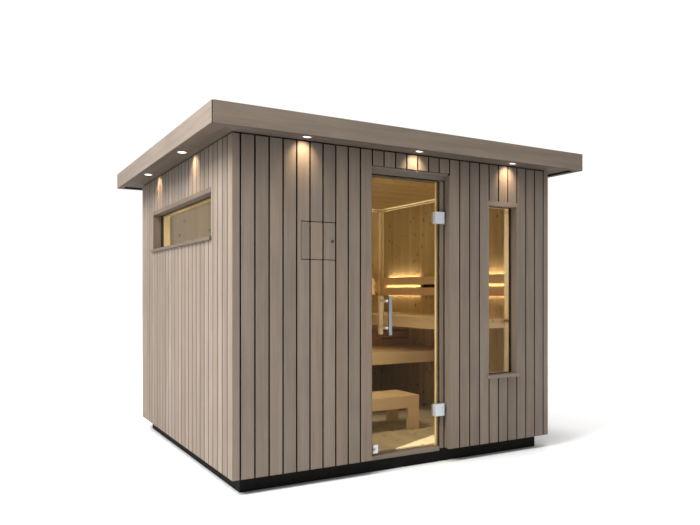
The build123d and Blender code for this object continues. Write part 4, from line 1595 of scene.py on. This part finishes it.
@dataclass
class Furniture:
    """Benches, backrests, light strips and the footstool."""

    slat_gap: float = 9 * MM
    slat_t: float = 28 * MM
    slat_edge: float = 2.5 * MM
    bearer: float = 45 * MM
    bearers: int = 4
    rear_slats: int = 4
    side_slats: int = 5
    lower_slats: int = 6
    front_t: float = 28 * MM
    front_h: float = 100 * MM
    side_width: float = 549.5 * MM
    skirt_boards: int = 3
    skirt_gap: float = 10 * MM
    back_bay: float = 600 * MM
    back_board: float = 76 * MM
    back_t: float = 22 * MM
    batten_t: float = 14 * MM
    batten_w: float = 60 * MM
    rear_end: float = 106.5 * MM
    side_end: float = 74 * MM
    slot_half: float = 300 * MM
    slot_overlap: float = 10 * MM
    slot_front: float = 2 * MM
    stool_slats: int = 3
    leg_w: float = 109 * MM
    leg_t: float = 28 * MM
    apron: float = 100 * MM
    stool_top: float = 22 * MM

    def build(self) -> None:
        """Build the furniture."""
        self._upper_bench()
        self._lower_bench()
        self._skirt()
        self._backrests()
        self._stool()

    def _row(self, boards: Joinery, area: Area, top: float, along: Along, count: int, cut: Section) -> None:
        """Lay parallel boards at even distances over an area.

        Args:
            boards: The mesh that they go into.
            area: The area, from the first board's outer edge to the last one's.
            top: The top of the boards.
            along: The direction of the boards.
            count: The number of boards.
            cut: The boards' section.
        """
        lengthwise = along is Along.A
        start, end = (area.low_y, area.high_y) if lengthwise else (area.low_x, area.high_x)
        pitch = (end - start - cut.width) / (count - 1)
        for i in range(count):
            low = start + i * pitch
            if lengthwise:
                outline = rectangle(area.low_x, low, area.high_x, low + cut.width)
            else:
                outline = rectangle(low, area.low_y, low + cut.width, area.high_y)
            boards.board(PLAN, outline, top - cut.thickness, top, along, cut.edge, cut.segments)

    def _slats(self, boards: Joinery, area: Area, top: float, along: Along, count: int) -> None:
        """Lay a seat of slats with the benches' gap between them.

        Args:
            boards: The mesh that they go into.
            area: The seat's area.
            top: The top of the slats.
            along: The direction of the slats.
            count: The number of slats.
        """
        reach = area.high_y - area.low_y if along is Along.A else area.high_x - area.low_x
        width = (reach - (count - 1) * self.slat_gap) / count
        self._row(boards, area, top, along, count, Section(width, self.slat_t, self.slat_edge))

    def _upper_bench(self) -> None:
        """Lay the two sections of the upper bench."""
        low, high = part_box("upper_bench")
        side_x = high.x - self.side_width
        rear_front = span("bench_skirt", 1)[0]
        front_board = rear_front + self.front_t
        side_board = side_x + self.front_t
        bottom, gap = high.z - self.front_h, self.slat_gap
        bearer = Section(self.bearer, self.bearer, SOFT, 1)
        under = high.z - self.slat_t
        boards = Joinery(61)
        rear = Area(low.x, front_board + gap, high.x, high.y)
        self._slats(boards, rear, high.z, Along.A, self.rear_slats)
        for start, end, edge in ((low.x, side_x, WORN), (side_x, high.x, 0.0)):
            outline = rectangle(start, rear_front, end, front_board)
            boards.board(PLAN, outline, bottom, high.z, Along.A, edge)
        side = Area(side_board + gap, low.y, high.x, rear_front)
        self._slats(boards, side, high.z, Along.B, self.side_slats)
        boards.board(PLAN, rectangle(side_x, low.y, side_board, rear_front), bottom, high.z, Along.B, WORN)
        self._row(boards, Area(low.x, front_board, high.x, high.y), under, Along.B, self.bearers, bearer)
        below_side = Area(side_board, low.y, high.x, rear_front)
        self._row(boards, below_side, under, Along.A, self.bearers - 1, bearer)
        boards.piece("upper_bench_boards", Stock.aspen, "cabin", "bench_wood", ["upper_bench"])

    def _lower_bench(self) -> None:
        """Lay the lower bench."""
        low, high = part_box("lower_bench")
        front_board = low.y + self.front_t
        bearer = Section(self.bearer, self.bearer, SOFT, 1)
        boards = Joinery(62)
        seat = Area(low.x, front_board + self.slat_gap, high.x, high.y)
        self._slats(boards, seat, high.z, Along.A, self.lower_slats)
        boards.board(PLAN, rectangle(low.x, low.y, high.x, front_board), low.z, high.z, Along.A, WORN)
        under = Area(low.x, front_board, high.x, high.y)
        self._row(boards, under, high.z - self.slat_t, Along.B, self.bearers, bearer)
        boards.piece("lower_bench_boards", Stock.aspen, "cabin", "bench_wood", ["lower_bench"])

    def _skirt(self) -> None:
        """Set the dark boards between the benches."""
        low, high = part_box("bench_skirt")
        boards = Joinery(63)
        height = (high.z - low.z - (self.skirt_boards - 1) * self.skirt_gap) / self.skirt_boards
        for i in range(self.skirt_boards):
            start = low.z + i * (height + self.skirt_gap)
            outline = rectangle(low.x, low.y, high.x, high.y)
            boards.board(PLAN, outline, start, start + height, Along.A, ROUNDED)
        boards.piece("skirt_boards", Stock.smoked, "cabin", "dark_bench_wood", ["bench_skirt"])

    def _backrests(self) -> None:
        """Set the backrests' boards on their battens and the light strips."""
        low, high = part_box("backrests")
        board, batten, batten_t = self.back_board, self.batten_w, self.batten_t
        boards = Joinery(64)
        for side, reach, half in (
            ("rear", high.y, high.x - self.rear_end), ("right", high.x, high.y - self.side_end)
        ):
            datum = wall_datum(side, reach)
            for bottom in (low.z, high.z - board):
                outline = rectangle(-half, bottom, half, bottom + board)
                boards.board(datum, outline, -batten_t - self.back_t, -batten_t, Along.A, WORN, 3)
            inner = half - batten - self.back_bay
            for place in (-half, -inner, inner - batten, half - batten):
                outline = rectangle(place, low.z, place + batten, high.z)
                boards.board(datum, outline, -batten_t, 0.0, Along.B, CRISP)
        boards.piece("backrest_boards", Stock.rosy, "cabin", "bench_wood", ["backrests"])
        # The strip behind the slot carries painted shade.
        slot = Joinery(66)
        inset = board - self.slot_overlap
        outline = rectangle(-self.slot_half, low.z + inset, self.slot_half, high.z - inset)
        slot.board(wall_datum("right", high.x), outline, -batten_t, -self.slot_front, Along.A, 0.0)
        slot.piece("backrest_slot", Stock.painted_shade, "cabin", "bench_wood")
        dress("backrest_lights", Stock.strip)

    def _stool(self) -> None:
        """Build the footstool."""
        low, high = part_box("footstool")
        leg_w, leg_t, gap = self.leg_w, self.leg_t, self.slat_gap
        seat = Area(low.x + leg_t, low.y + leg_t + gap, high.x - leg_t, high.y - leg_t - gap)
        slat = (seat.high_y - seat.low_y - (self.stool_slats - 1) * gap) / self.stool_slats
        boards = Joinery(65)
        self._row(boards, seat, high.z, Along.A, self.stool_slats, Section(slat, self.stool_top, ROUNDED))
        bottom = high.z - self.apron
        for y in (low.y, high.y - leg_t):
            boards.board(PLAN, rectangle(low.x, y, high.x, y + leg_t), bottom, high.z, Along.A, WORN)
            for x in (low.x, high.x - leg_w):
                boards.board(PLAN, rectangle(x, y, x + leg_w, y + leg_t), low.z, bottom, Along.C, ROUNDED)
        for x in (low.x, high.x - leg_t):
            outline = rectangle(x, low.y + leg_t, x + leg_t, high.y - leg_t)
            boards.board(PLAN, outline, bottom, high.z, Along.B, WORN)
        boards.piece("footstool_boards", Stock.aspen, "cabin", "bench_wood", ["footstool"])


@dataclass
class Shell:
    """The dark walls behind the boards, the plinth and the hatch's lock."""

    def build(self) -> None:
        """Dress the shell's nodes."""
        for node in (
            "front_wall_left", "front_wall_right", "front_wall_lintel", "rear_wall", "left_wall",
            "right_wall",
        ):
            dress(node, Stock.backing)
        dress("plinth", Stock.black, 2 * MM)
        dress("hatch_lock", Stock.iron, 0.8 * MM)


class Kind(Enum):
    """The kinds of lamp, each with the property that holds its size."""

    PANEL = ("AREA", "size")
    SUN = ("SUN", "angle")
    SPOT = ("SPOT", "shadow_soft_size")


@dataclass(frozen=True)
class Lamp:
    """One lamp: where it hangs, how it shines and which pieces alone it lights."""

    name: str
    kind: Kind
    place: Place
    power: float
    colour: Colour
    aim: Place
    size: float
    height: float = 0.0
    cone: float = 0.0
    blend: float = 1.0
    pieces: tuple[str, ...] = ()

    def hang(self) -> None:
        """Add the lamp to the scene, flagged off from all but its pieces if it has any."""
        kind, size_field = self.kind.value
        data = bpy.data.lights.new(self.name, kind)
        data.energy = self.power
        data.color = self.colour
        setattr(data, size_field, self.size)
        if self.height:
            data.shape = "RECTANGLE"
            data.size_y = self.height
        if self.cone:
            data.spot_size = math.radians(self.cone)
            data.spot_blend = self.blend
        thing = bpy.data.objects.new(self.name, data)
        bpy.context.scene.collection.objects.link(thing)
        thing.location = self.place
        thing.rotation_mode = "QUATERNION"
        thing.rotation_quaternion = Vector(self.aim).to_track_quat("-Z", "Y")
        if self.pieces:
            group = bpy.data.collections.new(f"{self.name}_light")
            for piece in self.pieces:
                group.objects.link(bpy.data.objects[piece])
            thing.light_linking.receiver_collection = group


@dataclass
class Studio:
    """The floor, the lights and the camera."""

    camera_place: Place = (-2.717, -5.057, 1.250)
    camera_turn: float = 29.84
    lens: float = 34.06
    shift: float = 0.0424
    warm: Colour = (1.0, 0.75, 0.48)
    near_floor: tuple[float, float] = (0.82, 0.84)
    far_floor: float = 0.95
    horizon: float = 1.02
    zenith: float = 1.7
    front_dim: float = 0.31
    bays: Point2 = (-0.63, 0.63)

    def build(self) -> None:
        """Set the studio."""
        self._floor()
        self._world()
        for lamps in (self._day_lamps(), self._eave_lamps(), self._room_lamps(), self._strip_lamps()):
            for lamp in lamps:
                lamp.hang()
        self._camera()

    def _floor(self) -> None:
        """Lay a pale floor, darker near the cabin as painted shade round it and paler further out."""
        bpy.ops.mesh.primitive_plane_add(size=60.0, location=(0, 0, 0))
        floor = bpy.context.object
        floor.name = "studio_floor"
        graph = Graph(bpy.data.materials.new("studio_floor"))
        spot = graph.add("ShaderNodeTexCoord", {}, {}, "Object")
        # Painted shade: the floor is darker within a few metres of the cabin and paler further out.
        far = graph.add("ShaderNodeVectorMath", {"operation": "LENGTH"}, {0: spot}, "Value") * 0.4 - 0.7
        low, high = ((level, level, level) for level in self.near_floor)
        near = graph.mix(graph.noise(spot, 0.5, 1.0), low, high)
        colour = graph.mix(far.clamp(0.0, 1.0), near, (self.far_floor,) * 3)
        floor.data.materials.append(graph.finish({"Base Color": colour, "Roughness": 0.9}))

    def _world(self) -> None:
        """Light the scene from all round, less from the front."""
        world = bpy.data.worlds.new("studio")
        bpy.context.scene.world = world
        graph = Graph(world)
        place = graph.add("ShaderNodeTexCoord", {}, {}, "Generated")
        parts = graph.node("ShaderNodeSeparateXYZ", {}, {0: place})
        height, depth = Signal(graph, parts.outputs["Z"]), Signal(graph, parts.outputs["Y"])
        rise = height.clamp(0.3, 0.9) * (self.zenith - self.horizon) + self.horizon
        front = depth.clamp(-0.1, 0.4) * (1.0 - self.front_dim) + self.front_dim
        sky = graph.add("ShaderNodeBackground", {}, {"Color": (1.0, 1.0, 1.0, 1.0), "Strength": rise * front})
        graph.node("ShaderNodeOutputWorld", {}, {"Surface": sky})
        bpy.context.scene.view_settings.view_transform = "Standard"

    def _day_lamps(self) -> list[Lamp]:
        """Return the key light from the left and the soft light from above."""
        return [
            Lamp("key", Kind.PANEL, (-4.6, -1.85, 5.2), 560.0, (1.0, 0.985, 0.96), (3.3, 0.9, -4.0), 2.5),
            Lamp("top", Kind.SUN, (0, -2, 6), 1.4, (1.0, 0.99, 0.98), (0.12, 0.12, -0.98), 0.25),
        ]

    def _eave_lamps(self) -> list[Lamp]:
        """Return one warm spot under each eave light, aimed at the wall."""
        level = span("soffit", 2)[0] - 6 * MM
        half_y = span("left_cladding", 1)[1]
        lamps = []
        for index, centre in enumerate(light_places()):
            toward = Vector((0, 1, 0)) if centre.y < -half_y else Vector((1, 0, 0))
            lamps.append(Lamp(
                f"eave_{index}", Kind.SPOT, (centre.x + 0.012 * toward.y, centre.y, level), 9.0, self.warm,
                toward * 0.72 + Vector((0, 0, -0.7)), 0.014, cone=96,
            ))
        return lamps

    def _room_lamps(self) -> list[Lamp]:
        """Return the lamps inside the room and those that bring out its boards."""
        ceiling = span("ceiling", 2)[0]
        low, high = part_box("cornice")
        level = (low.z + high.z) / 2
        beads, bead_light = ("cornice_strips",), (1.0, 0.88, 0.66)
        return [
            Lamp("room", Kind.PANEL, (-0.1, -0.1, ceiling - 0.06), 2.75, (1.0, 0.86, 0.46), (0, 0, -1), 1.4),
            Lamp(
                "inner", Kind.PANEL, (-1.05, -0.6, 1.3), 1.9, (1.0, 0.88, 0.68), (1, -0.1, -0.3), 0.6,
                pieces=("backrest_boards", "skirt_boards"),
            ),
            Lamp(
                "stool", Kind.SPOT, (-0.55, -0.85, 1.9), 60.0, (1.0, 0.86, 0.58), (0.75, 0.4, -1.5), 0.25,
                cone=68,
            ),
            Lamp(
                "corner", Kind.SPOT, (0.75, -0.75, 1.75), 16.0, (1.0, 0.86, 0.58), (0.4, 1.8, 0.2), 0.1,
                cone=36,
            ),
            Lamp(
                "sill", Kind.SPOT, (-2.061, -1.987, 2.600), 1400.0, (1.0, 0.95, 0.84),
                (0.646, 0.288, -0.707), 0.02, cone=22, blend=0.3, pieces=("floor_boards",),
            ),
            Lamp(
                "window_side", Kind.PANEL, (0.25, -0.95, 1.27), 4.5, (1.0, 0.96, 0.86), (1, -0.1, 0), 0.1,
                height=1.4, pieces=("front_window_inner_boards",),
            ),
            Lamp(
                "door_side", Kind.PANEL, (-0.25, -0.95, 1.10), 0.5, (0.95, 0.97, 1.0), (1, -0.1, 0), 0.1,
                height=1.4, pieces=("door_casing_boards",),
            ),
            Lamp(
                "left_side", Kind.PANEL, (-1.0, 0.2, 1.775), 1.3, (0.85, 0.97, 1.0), (-0.25, 1, 0), 0.1,
                height=0.3, pieces=("left_window_inner_boards",),
            ),
            Lamp(
                "cornice_right", Kind.PANEL, (high.x - 0.055, 0.0, level), 0.36, bead_light, (1, 0, 0),
                high.y - low.y - 0.2, height=0.01, pieces=beads,
            ),
            Lamp(
                "cornice_rear", Kind.PANEL, (0.0, high.y - 0.055, level), 0.36, bead_light, (0, 1, 0),
                high.x - low.x - 0.2, height=0.01, pieces=beads,
            ),
        ]

    def _strip_lamps(self) -> list[Lamp]:
        """Return the light of the strips behind the right backrest, with its wash on the wall."""
        low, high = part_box("backrests")
        behind, before = high.x - 14 * MM, high.x - 50 * MM
        lamps = []
        for bay, middle in enumerate(self.bays):
            for name, level, aim, power in (
                ("up", high.z - 4 * MM, (0.03, 0, 1), 0.45), ("down", low.z + 4 * MM, (-0.15, 0, -1), 0.35),
                ("out", (low.z + high.z) / 2, (-1, 0, 0), 0.9),
            ):
                lamps.append(Lamp(
                    f"slot_{name}_{bay}", Kind.PANEL, (behind, middle, level), power, self.warm, aim, 0.58,
                    height=0.008,
                ))
            for name, level, tilt, power in (
                ("wash_up", high.z + 4 * MM, 1, 0.22), ("wash_down", low.z - 4 * MM, -1, 0.04)
            ):
                lamps.append(Lamp(
                    f"{name}_{bay}", Kind.PANEL, (before, middle, level), power, (1.0, 0.82, 0.52),
                    (0.45, 0, tilt), 0.54, height=0.02, pieces=("right_lining_boards",),
                ))
        return lamps

    def _camera(self) -> None:
        """Set the camera at the view that the cabin is shown from."""
        data = bpy.data.cameras.new("camera")
        data.sensor_width = 36.0
        data.lens = self.lens
        data.shift_y = self.shift
        data.clip_end = 200.0
        thing = bpy.data.objects.new("camera", data)
        bpy.context.scene.collection.objects.link(thing)
        thing.location = self.camera_place
        thing.rotation_euler = (math.pi / 2, 0.0, -math.radians(self.camera_turn))
        bpy.context.scene.camera = thing


def main() -> None:
    """Build every sub-assembly in order and log each one."""
    logging.basicConfig(level=logging.INFO, format="%(name)s %(message)s")
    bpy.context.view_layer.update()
    for assembly in (Shell(), Cladding(), Lining(), Roof(), Door(), Windows(), Furniture(), Studio()):
        assembly.build()
        LOG.info("%s built", type(assembly).__name__)


if __name__ == "__main__":
    main()
